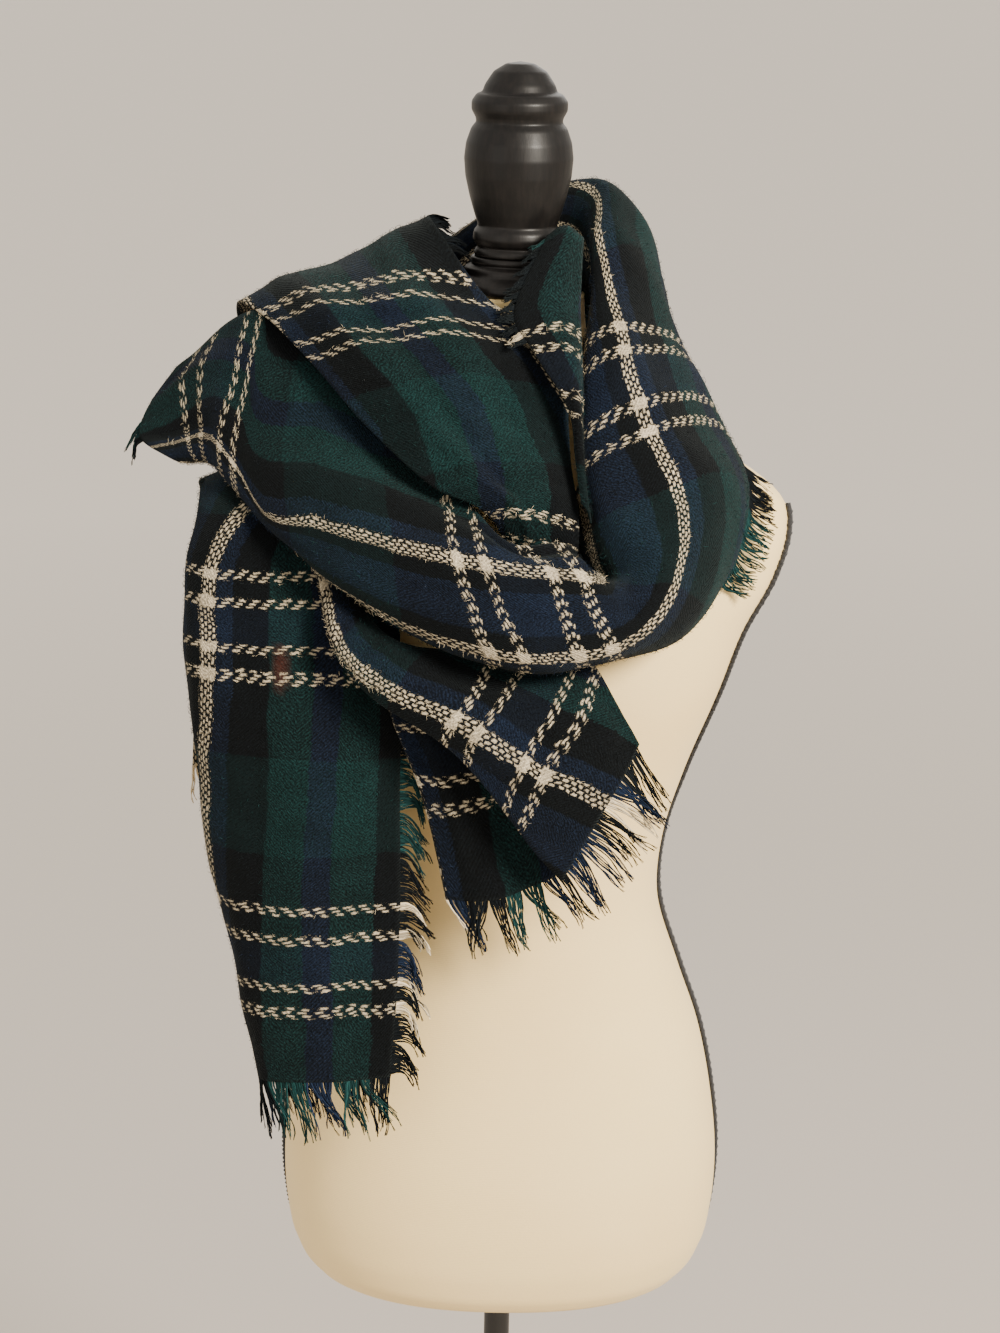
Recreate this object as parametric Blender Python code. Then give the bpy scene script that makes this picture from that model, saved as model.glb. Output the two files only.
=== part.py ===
"""Blanket scarf wound round a limbless dress form.

Units are metres, +Z is up, -Y is the front, and +X is the viewer's right.
The origin is under the base, on the axis of the pole.

The scarf is one square of brushed twill. It is wound as the wearer winds it:
a tail over one shoulder, a ring round the neck, and the last end thrown over
the first shoulder. Each stretch that shows is a wall of cloth of its own.
"""
import math

import bmesh
import bpy
import numpy as np
from mathutils import Vector
from mathutils.bvhtree import BVHTree

MM = 0.001

# Cloth
CLOTH = 0.0020            # wall of one layer, with its raised nap
FRINGE = 0.0014           # wall of a fringe, which is thinner than the cloth
SEAM_GAP = 0.0011         # between two stretches cut from one surface
FRINGE_GAP = 0.0008       # between a fringe and the edge it grows from
FRINGE_LIFT = 0.0012      # between a resting fringe and what it lies on
SEAT_GAP = 0.0004         # between a layer and what it lies on
SEAT_STEP = 0.0003        # by which a layer backs off until it is clear
END_REACH = 0.040         # fringe on the two ends
SIDE_REACH = 0.028        # fringe on the two sides
GRID_STEP = 0.0185        # facet size on the cloth
FRINGE_STEPS = 3          # facets along a fringe

# Stand
BASE_RADIUS = 0.165
BASE_THICKNESS = 0.014
COLLAR_RADIUS = 0.021
COLLAR_HEIGHT = 0.046
POLE_RADIUS = 0.010
TORSO_BOTTOM = 0.690
FLANGE_RADIUS = 0.034
FLANGE_THICKNESS = 0.005
GAP = 0.0003              # between two solid pieces that touch

# Braid on the side seams
BRAID_WIDTH = 0.010
BRAID_THICKNESS = 0.0026
BRAID_LIFT = 0.0009       # between the braid and the jersey under it
BRAID_PATH = (
    # height in mm, degrees round from the side line: minus is towards the front
    (714, 3.5), (750, 3.5), (785, 3.5), (840, 3.5), (895, 3.5), (940, 3.5), (1000, 3.0),
    (1050, 0.0), (1100, -6.0), (1135, -9.5), (1170, -12.0), (1215, -12.5), (1255, -10.0),
    (1285, -6.0), (1304, -2.0),
)

# The torso as level sections: height, half width, depth in front of the axis,
# depth behind it, all in mm.
TORSO_SECTIONS = (
    # height, half width, front, back
    (690, 118, 82, 84),
    (694, 136, 100, 102),
    (703, 149, 112, 114),
    (720, 159, 120, 122),
    (750, 165.5, 125, 127),
    (785, 167.5, 125, 128),
    (840, 162, 119, 124),
    (895, 150, 109, 114),
    (940, 134, 100, 101),
    (1000, 116, 92, 87),
    (1050, 119, 96, 86),
    (1100, 133, 108, 92),
    (1170, 160, 124, 103),
    (1215, 177, 122, 106),
    (1255, 199, 106, 103),
    (1285, 205, 90, 96),
    (1308, 198, 77, 86),
    (1328, 174, 67, 76),
    (1346, 141, 60, 68),
    (1364, 108, 55, 62),
    (1382, 80, 51, 57),
    (1400, 63, 49, 53),
    (1422, 53, 48, 50),
    (1455, 49, 47, 47),
)

# Turned profiles: radius and height in mm, from the axis down.
FINIAL_PROFILE = (
    (0, 1619), (10, 1617.5), (19, 1612), (25, 1603), (27, 1597.5),
    (31, 1596), (34.5, 1591), (34.5, 1585), (31.5, 1579.5), (31, 1576.5),
    (34.5, 1572), (38, 1562), (39.3, 1551), (38.2, 1538), (35, 1524),
    (31.2, 1511), (28.5, 1503), (31.5, 1499), (32.2, 1494), (30.5, 1490),
    (28.5, 1488), (31, 1485), (31, 1481.3), (0, 1481.3),
)
NECK_CAP_PROFILE = (
    (0, 1481), (33, 1481), (34, 1478), (32.5, 1475.5), (38, 1473),
    (38.5, 1469), (43, 1466.5), (48, 1463), (49, 1458.5), (47, 1455.3), (0, 1455.3),
)

# Surfaces of the cloth. Each row is one line across the stretch: its place
# along the scarf in mm, then a point (x, y, z) in mm under each column name.
TAIL_COLUMNS = ("free edge", "green", "black", "stripe", "turn", "inside")
TAIL_ROWS = (
    (0, (-81, -150, 906), (-121, -156, 904), (-172, -146, 900),
        (-170, -114, 900), (-142, -106, 902), (-98, -112, 905)),
    (60, (-77, -149, 968), (-122, -158, 966), (-176, -150, 963),
         (-190, -116, 962), (-166, -102, 963), (-122, -106, 966)),
    (125, (-75, -148, 1031), (-124, -160, 1030), (-176, -152, 1028),
          (-206, -120, 1027), (-190, -98, 1027), (-146, -96, 1029)),
    (225, (-76, -144, 1126), (-120, -156, 1126), (-171, -151, 1125),
          (-216, -124, 1125), (-216, -98, 1125), (-176, -78, 1127)),
    (300, (-76, -136, 1204), (-116, -142, 1204), (-170, -140, 1204),
          (-211, -130, 1204), (-231, -106, 1204), (-206, -70, 1207)),
    (375, (-84, -110, 1281), (-122, -112, 1281), (-169, -112, 1280),
          (-209, -108, 1280), (-229, -88, 1280), (-212, -54, 1283)),
    (430, (-98, -82, 1328), (-121, -83, 1328), (-149, -84, 1325),
          (-182, -86, 1318), (-217, -74, 1314), (-226, -44, 1317)),
    (480, (-102, -46, 1369), (-122, -46, 1360), (-146, -46, 1351),
          (-174, -46, 1341), (-206, -42, 1328), (-227, -28, 1319)),
    (540, (-100, 6, 1373), (-120, 7, 1360), (-144, 8, 1347),
          (-170, 9, 1333), (-198, 10, 1318), (-222, 8, 1303)),
    (600, (-97, 66, 1357), (-119, 71, 1346), (-146, 74, 1334),
          (-173, 74, 1321), (-201, 68, 1307), (-227, 56, 1291)),
    (680, (-92, 112, 1288), (-120, 117, 1283), (-150, 118, 1274),
          (-179, 113, 1264), (-208, 102, 1252), (-234, 84, 1240)),
    (780, (-88, 126, 1190), (-116, 129, 1186), (-148, 128, 1180),
          (-181, 119, 1172), (-213, 104, 1164), (-241, 82, 1156)),
    (880, (-86, 128, 1092), (-114, 134, 1089), (-146, 129, 1084),
          (-180, 122, 1078), (-214, 106, 1072), (-246, 82, 1066)),
)

RING_COLUMNS = ("top", "upper", "middle stripe", "between", "rim stripe",
                "outer", "back", "end")
RING_ROWS = (
    (560, (-54, 42, 1430), (-58, 46, 1443), (-62, 50, 1455), (-66, 55, 1466),
          (-71, 61, 1470), (-77, 72, 1459), (-85, 82, 1428), (-94, 92, 1378)),
    (630, (-2, 62, 1462), (-2, 66, 1478), (-2, 71, 1494), (-2, 78, 1510),
          (-2, 88, 1519), (-2, 102, 1509), (-2, 116, 1470), (-2, 122, 1396)),
    (690, (42, 44, 1462), (44, 45, 1478), (46, 46, 1494), (49, 48, 1509),
          (53, 52, 1524), (63, 62, 1533), (88, 80, 1500), (106, 94, 1420)),
    (740, (62, -2, 1432), (59, -6, 1447), (57, -9, 1463), (56, -8, 1479),
          (58, -2, 1496), (74, 14, 1505), (97, 38, 1480), (118, 62, 1410)),
    (810, (56, -58, 1388), (51, -58, 1401), (47, -58, 1415), (51, -62, 1429),
          (71, -58, 1439), (97, -32, 1436), (119, 4, 1421), (136, 36, 1382)),
    (850, (54, -80, 1348), (49, -83, 1363), (46, -87, 1379), (52, -93, 1394),
          (80, -86, 1405), (109, -56, 1407), (135, -12, 1395), (153, 16, 1358)),
    (885, (41, -87, 1321), (49, -106, 1329), (47, -113, 1344), (56, -120, 1360),
          (93, -110, 1375), (121, -80, 1379), (148, -32, 1367), (167, -8, 1337)),
    (945, (42, -104, 1295), (56, -134, 1297), (60, -146, 1308), (81, -152, 1322),
          (115, -140, 1332), (145, -108, 1334), (163, -74, 1321), (168, -66, 1303)),
    (990, (50, -123, 1282), (62, -148, 1282), (70, -161, 1286), (93, -169, 1292),
          (115, -160, 1297), (139, -134, 1285), (151, -100, 1272), (150, -82, 1262)),
    (1030, (47, -150, 1288), (52, -163, 1288), (63, -178, 1284), (81, -188, 1272),
           (98, -183, 1262), (115, -160, 1243), (121, -128, 1234), (118, -108, 1238)),
    (1064, (33, -162, 1307), (40, -176, 1301), (49, -188, 1289), (60, -198, 1266),
           (69, -196, 1243), (75, -180, 1231), (76, -156, 1226), (74, -132, 1231)),
    (1082, (6, -166, 1305), (15, -180, 1300), (27, -191, 1292), (37, -203, 1264),
           (46, -201, 1239), (49, -188, 1227), (49, -166, 1222), (48, -144, 1226)),
    (1120, (-29, -140, 1328), (-24, -165, 1313), (-17, -189, 1296), (-4, -204, 1265),
           (10, -206, 1237), (11, -194, 1225), (10, -174, 1219), (9, -152, 1224)),
    (1180, (-86, -96, 1372), (-84, -136, 1340), (-76, -173, 1305), (-72, -184, 1274),
           (-68, -179, 1249), (-64, -166, 1239), (-60, -151, 1240), (-58, -140, 1252)),
    (1240, (-131, -62, 1416), (-138, -108, 1360), (-134, -145, 1313), (-132, -153, 1287),
           (-128, -150, 1277), (-122, -146, 1277), (-118, -143, 1286), (-115, -140, 1297)),
    (1285, (-170, -36, 1440), (-182, -74, 1372), (-176, -112, 1317), (-171, -115, 1304),
           (-165, -113, 1301), (-159, -110, 1306), (-155, -107, 1317), (-152, -104, 1330)),
    (1318, (-181, -30, 1445), (-191, -60, 1390), (-199, -82, 1350), (-194, -95, 1325),
           (-187, -95, 1319), (-181, -91, 1324), (-178, -87, 1335), (-176, -82, 1347)),
    (1336, (-192, -26, 1442), (-199, -54, 1398), (-210, -71, 1362), (-206, -81, 1334),
           (-200, -77, 1328), (-194, -70, 1331), (-191, -63, 1341), (-189, -56, 1353)),
    (1375, (-215, -6, 1425), (-225, -31, 1395), (-225, -50, 1366), (-221, -62, 1344),
           (-216, -59, 1337), (-210, -52, 1339), (-207, -45, 1347), (-205, -38, 1357)),
    (1393, (-229, -3, 1411), (-238, -26, 1387), (-236, -44, 1361), (-229, -57, 1344),
           (-224, -55, 1338), (-218, -48, 1339), (-215, -41, 1346), (-213, -34, 1354)),
    (1441, (-247, 2, 1396), (-265, -18, 1370), (-270, -32, 1350), (-251, -48, 1341),
           (-240, -52, 1337), (-232, -47, 1338), (-228, -40, 1343), (-225, -32, 1350)),
)

PANEL_COLUMNS = ("roll", "left", "middle", "right", "frayed edge")
PANEL_ROWS = (
    (120, (-194, 96, 1328), (-160, 116, 1343), (-124, 127, 1358), (-94, 132, 1372),
          (-72, 132, 1386)),
    (200, (-199, 58, 1408), (-163, 84, 1426), (-126, 98, 1442), (-98, 104, 1455),
          (-76, 104, 1467)),
    (232, (-204, 22, 1434), (-167, 44, 1456), (-128, 54, 1471), (-94, 57, 1487),
          (-65, 54, 1501)),
    (262, (-200, -10, 1449), (-166, 6, 1465), (-126, 10, 1476), (-90, 10, 1491),
          (-60, 6, 1505)),
    (302, (-175, -44, 1440), (-140, -54, 1455), (-105, -61, 1461), (-64, -62, 1465),
          (-18, -60, 1459)),
    (340, (-158, -64, 1428), (-125, -76, 1440), (-90, -82, 1445), (-41, -81, 1449),
          (21, -63, 1440)),
    (377, (-137, -86, 1411), (-105, -98, 1424), (-72, -102, 1432), (-26, -98, 1433),
          (37, -74, 1417)),
    (440, (-99, -121, 1376), (-71, -129, 1388), (-42, -127, 1394), (-2, -112, 1392),
          (38, -90, 1380)),
    (500, (-55, -148, 1343), (-33, -150, 1350), (-8, -146, 1353), (19, -137, 1350),
          (41, -121, 1344)),
    (556, (-11, -146, 1317), (3, -152, 1318), (18, -152, 1316), (33, -147, 1312),
          (46, -139, 1307)),
    (575, (-2, -137, 1294), (10, -140, 1290), (24, -140, 1287), (36, -138, 1285),
          (44, -134, 1283)),
)

FOLD_COLUMNS = ("frayed edge", "crest", "valley")
FOLD_ROWS = (
    (750, (20, -38, 1500), (33, -32, 1507), (46, -22, 1497)),
    (790, (-2, -77, 1452), (28, -73, 1461), (44, -63, 1453)),
    (830, (12, -101, 1427), (38, -97, 1427), (46, -88, 1416)),
    (880, (36, -116, 1391), (44, -118, 1389), (47, -111, 1377)),
    (930, (42, -130, 1357), (47, -133, 1353), (49, -127, 1343)),
    (970, (46, -146, 1330), (51, -149, 1324), (53, -142, 1315)),
)

FLAP_COLUMNS = ("low", "stripe", "right", "tuck")
FLAP_ROWS = (
    (0, (39, -184, 1068), (69, -190, 1127), (84, -178, 1152), (91, -170, 1165)),
    (28, (20, -187, 1090), (46, -193, 1140), (66, -182, 1174), (75, -163, 1193)),
    (56, (4, -188, 1112), (19, -195, 1152), (42, -182, 1190), (56, -146, 1219)),
    (114, (-36, -188, 1160), (-29, -194, 1182), (-12, -178, 1201), (3, -141, 1222)),
    (180, (-91, -180, 1196), (-88, -184, 1207), (-78, -176, 1220), (-69, -160, 1231)),
    (240, (-119, -163, 1222), (-118, -168, 1229), (-108, -160, 1239), (-98, -147, 1246)),
    (290, (-129, -140, 1252), (-129, -144, 1257), (-120, -137, 1264), (-112, -127, 1267)),
    (340, (-140, -108, 1290), (-141, -112, 1295), (-134, -108, 1302), (-127, -101, 1306)),
)

PLEAT_COLUMNS = ("left", "middle", "right")
PLEAT_ROWS = (
    (0, (-42, -164, 1043), (-6, -171, 1046), (35, -167, 1062)),
    (57, (-60, -162, 1118), (-28, -169, 1124), (10, -164, 1132)),
    (105, (-80, -158, 1168), (-46, -164, 1170), (-10, -159, 1174)),
    (150, (-90, -152, 1198), (-62, -155, 1202), (-34, -151, 1204)),
    (175, (-93, -149, 1213), (-70, -151, 1217), (-48, -148, 1219)),
)

# Colours, as linear values
GREEN = (0.010, 0.055, 0.038)
NAVY = (0.012, 0.018, 0.045)
BLACK_WOOD = (0.010, 0.010, 0.010)
BLACK_METAL = (0.008, 0.008, 0.008)
IVORY = (0.72, 0.64, 0.47)


def clear_scene():
    for item in list(bpy.data.objects):
        bpy.data.objects.remove(item, do_unlink=True)


def material(name, colour, roughness, metallic=0.0):
    made = bpy.data.materials.new(name)
    made.use_nodes = True
    shader = made.node_tree.nodes["Principled BSDF"]
    shader.inputs["Base Color"].default_value = (*colour, 1.0)
    shader.inputs["Roughness"].default_value = roughness
    shader.inputs["Metallic"].default_value = metallic
    return made


def add_object(name, verts, faces, finish, smooth=True):
    mesh = bpy.data.meshes.new(name)
    mesh.from_pydata([tuple(v) for v in verts], [], faces)
    shell = bmesh.new()
    shell.from_mesh(mesh)
    bmesh.ops.recalc_face_normals(shell, faces=shell.faces)
    shell.to_mesh(mesh)
    shell.free()
    if smooth:
        mesh.shade_smooth()
        mesh.set_sharp_from_angle(angle=math.radians(40))
    mesh.materials.append(finish)
    made = bpy.data.objects.new(name, mesh)
    bpy.context.scene.collection.objects.link(made)
    return made


def spline(knots, values, at):
    """A smooth curve through values at knots, read at the places in at."""
    knots = np.asarray(knots, float)
    values = np.asarray(values, float)
    at = np.clip(np.asarray(at, float), knots[0], knots[-1])
    steps = np.diff(knots)
    shape = (-1,) + (1,) * (values.ndim - 1)
    slopes = np.diff(values, axis=0) / steps.reshape(shape)
    tangents = np.empty_like(values)
    tangents[0] = slopes[0]
    tangents[-1] = slopes[-1]
    before = steps[:-1].reshape(shape)
    after = steps[1:].reshape(shape)
    tangents[1:-1] = (slopes[:-1] * after + slopes[1:] * before) / (before + after)
    span = np.clip(np.searchsorted(knots, at, side="right") - 1, 0, len(steps) - 1)
    width = steps[span].reshape(shape)
    t = ((at - knots[span]) / steps[span]).reshape(shape)
    return (values[span] * (2 * t**3 - 3 * t**2 + 1)
            + tangents[span] * width * (t**3 - 2 * t**2 + t)
            + values[span + 1] * (3 * t**2 - 2 * t**3)
            + tangents[span + 1] * width * (t**3 - t**2))


class Cloth:
    """A smooth sheet through the rows of a table, with one point under each
    column name. Along runs with the warp, in mm as in the table, and across
    runs from 0 to 1."""

    def __init__(self, columns, rows):
        self.along = np.array([row[0] for row in rows], float)
        self.points = np.array([row[1:1 + len(columns)] for row in rows], float) * MM
        chords = np.linalg.norm(np.diff(self.points, axis=1), axis=2).mean(axis=0)
        self.width = float(chords.sum())
        self.across = np.concatenate([[0.0], np.cumsum(chords)]) / self.width
        self.shift = np.zeros(3)

    def at(self, along, across):
        """Points on the sheet for each along and each across."""
        columns = np.swapaxes(self.points, 0, 1)
        lines = np.swapaxes(spline(self.across, columns, across), 0, 1)
        return spline(self.along, lines, along) + self.shift

    def normals(self, along, across):
        nudge_along = 2.0
        nudge_across = 0.01
        low, high = self.along[0], self.along[-1]
        a0 = np.clip(along - nudge_along, low, high)
        a1 = np.clip(along + nudge_along, low, high)
        c0 = np.clip(across - nudge_across, 0.0, 1.0)
        c1 = np.clip(across + nudge_across, 0.0, 1.0)
        down = self.at(a1, across) - self.at(a0, across)
        over = self.at(along, c1) - self.at(along, c0)
        normal = np.cross(down, over)
        return normal / np.linalg.norm(normal, axis=2, keepdims=True)


def wall(points, normals, thickness):
    """Vertices and triangles of a closed wall on both sides of a grid."""
    rows, columns = points.shape[:2]
    half = normals * (thickness / 2)
    verts = np.concatenate([(points + half).reshape(-1, 3),
                            (points - half).reshape(-1, 3)])
    count = rows * columns
    faces = []
    for i in range(rows - 1):
        for j in range(columns - 1):
            a = i * columns + j
            b = a + 1
            c = a + columns + 1
            d = a + columns
            faces += [(a, b, c), (a, c, d)]
            faces += [(a + count, c + count, b + count), (a + count, d + count, c + count)]
    border = list(range(columns))
    border += [i * columns + columns - 1 for i in range(1, rows)]
    border += [(rows - 1) * columns + j for j in range(columns - 2, -1, -1)]
    border += [i * columns for i in range(rows - 2, 0, -1)]
    for k, here in enumerate(border):
        there = border[(k + 1) % len(border)]
        faces += [(here, here + count, there + count), (here, there + count, there)]
    return verts, faces


def stretch_shape(cloth, start=None, stop=None):
    """The wall of one stretch of a cloth, between two places along it."""
    start = cloth.along[0] if start is None else start + SEAM_GAP / MM / 2
    stop = cloth.along[-1] if stop is None else stop - SEAM_GAP / MM / 2
    rows = max(3, round((stop - start) * MM / GRID_STEP) + 1)
    columns = max(4, round(cloth.width / GRID_STEP) + 1)
    along = np.linspace(start, stop, rows)
    across = np.linspace(0.0, 1.0, columns)
    return wall(cloth.at(along, across), cloth.normals(along, across), CLOTH)


def fringe_shape(cloth, edge, reach, start=None, stop=None, fall=0.5):
    """A thin band that carries on from an edge of a cloth and falls away. Start
    and stop are places along a side, or across an end."""
    nudge_along = 4.0
    nudge_across = 0.02
    if edge in ("first row", "last row"):
        low = 0.0 if start is None else start
        high = 1.0 if stop is None else stop
        across = np.linspace(low, high, max(4, round(cloth.width / GRID_STEP) + 1))
        here = cloth.along[0] if edge == "first row" else cloth.along[-1]
        inward = nudge_along if edge == "first row" else -nudge_along
        root = cloth.at(np.array([here]), across)[0]
        outward = root - cloth.at(np.array([here + inward]), across)[0]
        normal = cloth.normals(np.array([here]), across)[0]
    else:
        low = cloth.along[0] if start is None else start
        high = cloth.along[-1] if stop is None else stop
        along = np.linspace(low, high, max(4, round((high - low) * MM / GRID_STEP) + 1))
        here = 0.0 if edge == "first column" else 1.0
        there = nudge_across if edge == "first column" else 1.0 - nudge_across
        root = cloth.at(along, np.array([here]))[:, 0]
        outward = root - cloth.at(along, np.array([there]))[:, 0]
        normal = cloth.normals(along, np.array([here]))[:, 0]
    outward /= np.linalg.norm(outward, axis=1, keepdims=True)
    down = np.array([0.0, 0.0, -1.0])
    lines = [root + outward * FRINGE_GAP]
    for step in range(1, FRINGE_STEPS + 1):
        droop = fall * step / FRINGE_STEPS
        heading = outward * (1 - droop) + down * droop
        heading /= np.linalg.norm(heading, axis=1, keepdims=True)
        lines.append(lines[-1] + heading * (reach / FRINGE_STEPS))
    normals = np.repeat(normal[None], FRINGE_STEPS + 1, axis=0)
    return wall(np.stack(lines), normals, FRINGE)


def resting_fringe(cloth, body, start, stop, reach, heading):
    """A band from the last column of a cloth that lies on a body, pointing along
    a heading."""
    clearance = FRINGE / 2 + FRINGE_LIFT
    way = Vector(heading).normalized()
    first_step = 0.0022
    surface = tree([body])[0]
    along = np.linspace(start, stop, max(4, round((stop - start) * MM / GRID_STEP) + 1))
    edge = cloth.at(along, np.array([1.0]))[:, 0]
    lines = []
    normals = []
    for step in range(FRINGE_STEPS + 1):
        line = []
        line_normals = []
        for root in edge:
            place = Vector(root) + way * (first_step + reach * step / FRINGE_STEPS)
            near, normal = surface.find_nearest(place)[:2]
            inside = (place - near).dot(normal) < clearance
            if inside or step == FRINGE_STEPS:
                place = near + normal * clearance
            line.append(tuple(place))
            line_normals.append(tuple(normal))
        lines.append(line)
        normals.append(line_normals)
    return wall(np.array(lines), np.array(normals), FRINGE)


def tree(shapes):
    verts = []
    faces = []
    for shape_verts, shape_faces in shapes:
        base = len(verts)
        verts += [Vector(v) for v in shape_verts]
        faces += [tuple(base + i for i in face) for face in shape_faces]
    return BVHTree.FromPolygons(verts, faces), verts, faces


def probes(verts, faces):
    """Corners and edge middles, from which distances are read."""
    middles = []
    for face in faces:
        for a, b in zip(face, face[1:] + face[:1]):
            if a < b:
                middles.append((verts[a] + verts[b]) / 2)
    return verts + middles


def seat(cloth, shapes, carriers, direction):
    """Move a cloth along a direction until it lies on what carries it."""
    heading = Vector(direction).normalized()
    moving, moving_verts, moving_faces = tree(shapes)
    fixed, fixed_verts, fixed_faces = tree(carriers)
    travel = None
    for probe in probes(moving_verts, moving_faces):
        hit = fixed.ray_cast(probe, heading)
        if hit[0] is not None and (travel is None or hit[3] < travel):
            travel = hit[3]
    for probe in probes(fixed_verts, fixed_faces):
        hit = moving.ray_cast(probe, -heading)
        if hit[0] is not None and (travel is None or hit[3] < travel):
            travel = hit[3]
    travel -= SEAT_GAP
    while True:
        moved = [([v + np.array(heading) * travel for v in verts], faces)
                 for verts, faces in shapes]
        if not tree(moved)[0].overlap(fixed):
            break
        travel -= SEAT_STEP
    cloth.shift = cloth.shift + np.array(heading) * travel


def turned(name, profile, finish, segments=36):
    """A closed solid turned round the pole's axis from (radius, height) points."""
    verts = [(0.0, 0.0, profile[0][1] * MM), (0.0, 0.0, profile[-1][1] * MM)]
    rings = []
    for radius, height in profile:
        if radius == 0:
            continue
        ring = []
        for k in range(segments):
            angle = 2 * math.pi * k / segments
            ring.append(len(verts))
            verts.append((radius * MM * math.cos(angle), radius * MM * math.sin(angle),
                          height * MM))
        rings.append(ring)
    faces = []
    for k in range(segments):
        m = (k + 1) % segments
        faces.append((0, rings[0][k], rings[0][m]))
        faces.append((1, rings[-1][m], rings[-1][k]))
        for upper, lower in zip(rings, rings[1:]):
            faces.append((upper[k], lower[k], lower[m], upper[m]))
    return add_object(name, verts, faces, finish)


def torso_radius(height, angle):
    """Distance from the axis to the torso, at a height in mm and an angle."""
    table = np.array(TORSO_SECTIONS, float)
    half, front, back = spline(table[:, 0], table[:, 1:], np.array([height]))[0]
    depth = back if math.sin(angle) > 0 else front
    power = 2.25
    reach = (abs(math.cos(angle)) / half) ** power + (abs(math.sin(angle)) / depth) ** power
    return reach ** (-1 / power)


def torso_point(height, angle, out=0.0):
    radius = torso_radius(height, angle) * MM + out
    return (radius * math.cos(angle), radius * math.sin(angle), height * MM)


def torso_shape(segments=44):
    heights = [row[0] for row in TORSO_SECTIONS]
    verts = []
    for height in heights:
        for k in range(segments):
            verts.append(torso_point(height, 2 * math.pi * k / segments))
    faces = []
    for i in range(len(heights) - 1):
        for k in range(segments):
            a = i * segments + k
            b = i * segments + (k + 1) % segments
            faces += [(a, b, b + segments), (a, b + segments, a + segments)]
    top = (len(heights) - 1) * segments
    faces.append(tuple(reversed(range(segments))))
    faces.append(tuple(range(top, top + segments)))
    return verts, faces


def braid_shape(side):
    """The braid on one side seam, from the hip over the armhole to the shoulder."""
    lines = []
    normals = []
    for height, turn in BRAID_PATH:
        base = math.pi if side < 0 else 0.0
        angle = base + side * math.radians(turn)
        centre = Vector(torso_point(height, angle))
        ahead = Vector(torso_point(height, angle + 0.02))
        above = Vector(torso_point(height + 4, angle))
        over = (ahead - centre).normalized()
        normal = over.cross(above - centre).normalized()
        lift = BRAID_THICKNESS / 2 + BRAID_LIFT
        middle = centre + normal * lift
        lines.append([middle - over * BRAID_WIDTH / 2, middle + over * BRAID_WIDTH / 2])
        normals.append([normal, normal])
    return wall(np.array(lines), np.array(normals), BRAID_THICKNESS)


def build_stand():
    metal = material("black enamel", BLACK_METAL, 0.35, 0.6)
    wood = material("black stained wood", BLACK_WOOD, 0.32)
    thick = BASE_THICKNESS / MM
    radius = BASE_RADIUS / MM
    turned("base", ((0, thick), (radius - 6, thick), (radius - 2, thick - 2),
                    (radius, thick - 6), (radius, 2), (radius - 2, 0), (0, 0)), metal, 64)
    foot = thick + GAP / MM
    collar = foot + COLLAR_HEIGHT / MM
    inner = POLE_RADIUS / MM + GAP / MM
    wide = COLLAR_RADIUS / MM
    ring_solid("collar", inner, wide, foot, collar, metal)
    flange_top = TORSO_BOTTOM / MM - GAP / MM
    flange_low = flange_top - FLANGE_THICKNESS / MM
    pole = POLE_RADIUS / MM
    pole_top = flange_low - GAP / MM
    turned("pole", ((0, pole_top), (pole, pole_top), (pole, foot), (0, foot)), metal, 32)
    flange = FLANGE_RADIUS / MM
    turned("flange", ((0, flange_top), (flange, flange_top), (flange, flange_low),
                      (0, flange_low)), metal, 32)
    turned("finial", FINIAL_PROFILE, wood)
    turned("neck_cap", NECK_CAP_PROFILE, wood)


def ring_solid(name, inner, outer, low, high, finish, segments=32):
    """A collar with a hole for the pole."""
    corners = ((inner, low), (outer, low), (outer, high - 5), (outer - 5, high), (inner, high))
    verts = []
    for k in range(segments):
        angle = 2 * math.pi * k / segments
        for radius, height in corners:
            verts.append((radius * MM * math.cos(angle), radius * MM * math.sin(angle),
                          height * MM))
    count = len(corners)
    faces = []
    for k in range(segments):
        m = (k + 1) % segments
        for c in range(count):
            d = (c + 1) % count
            faces.append((k * count + c, m * count + c, m * count + d, k * count + d))
    return add_object(name, verts, faces, finish)


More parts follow.
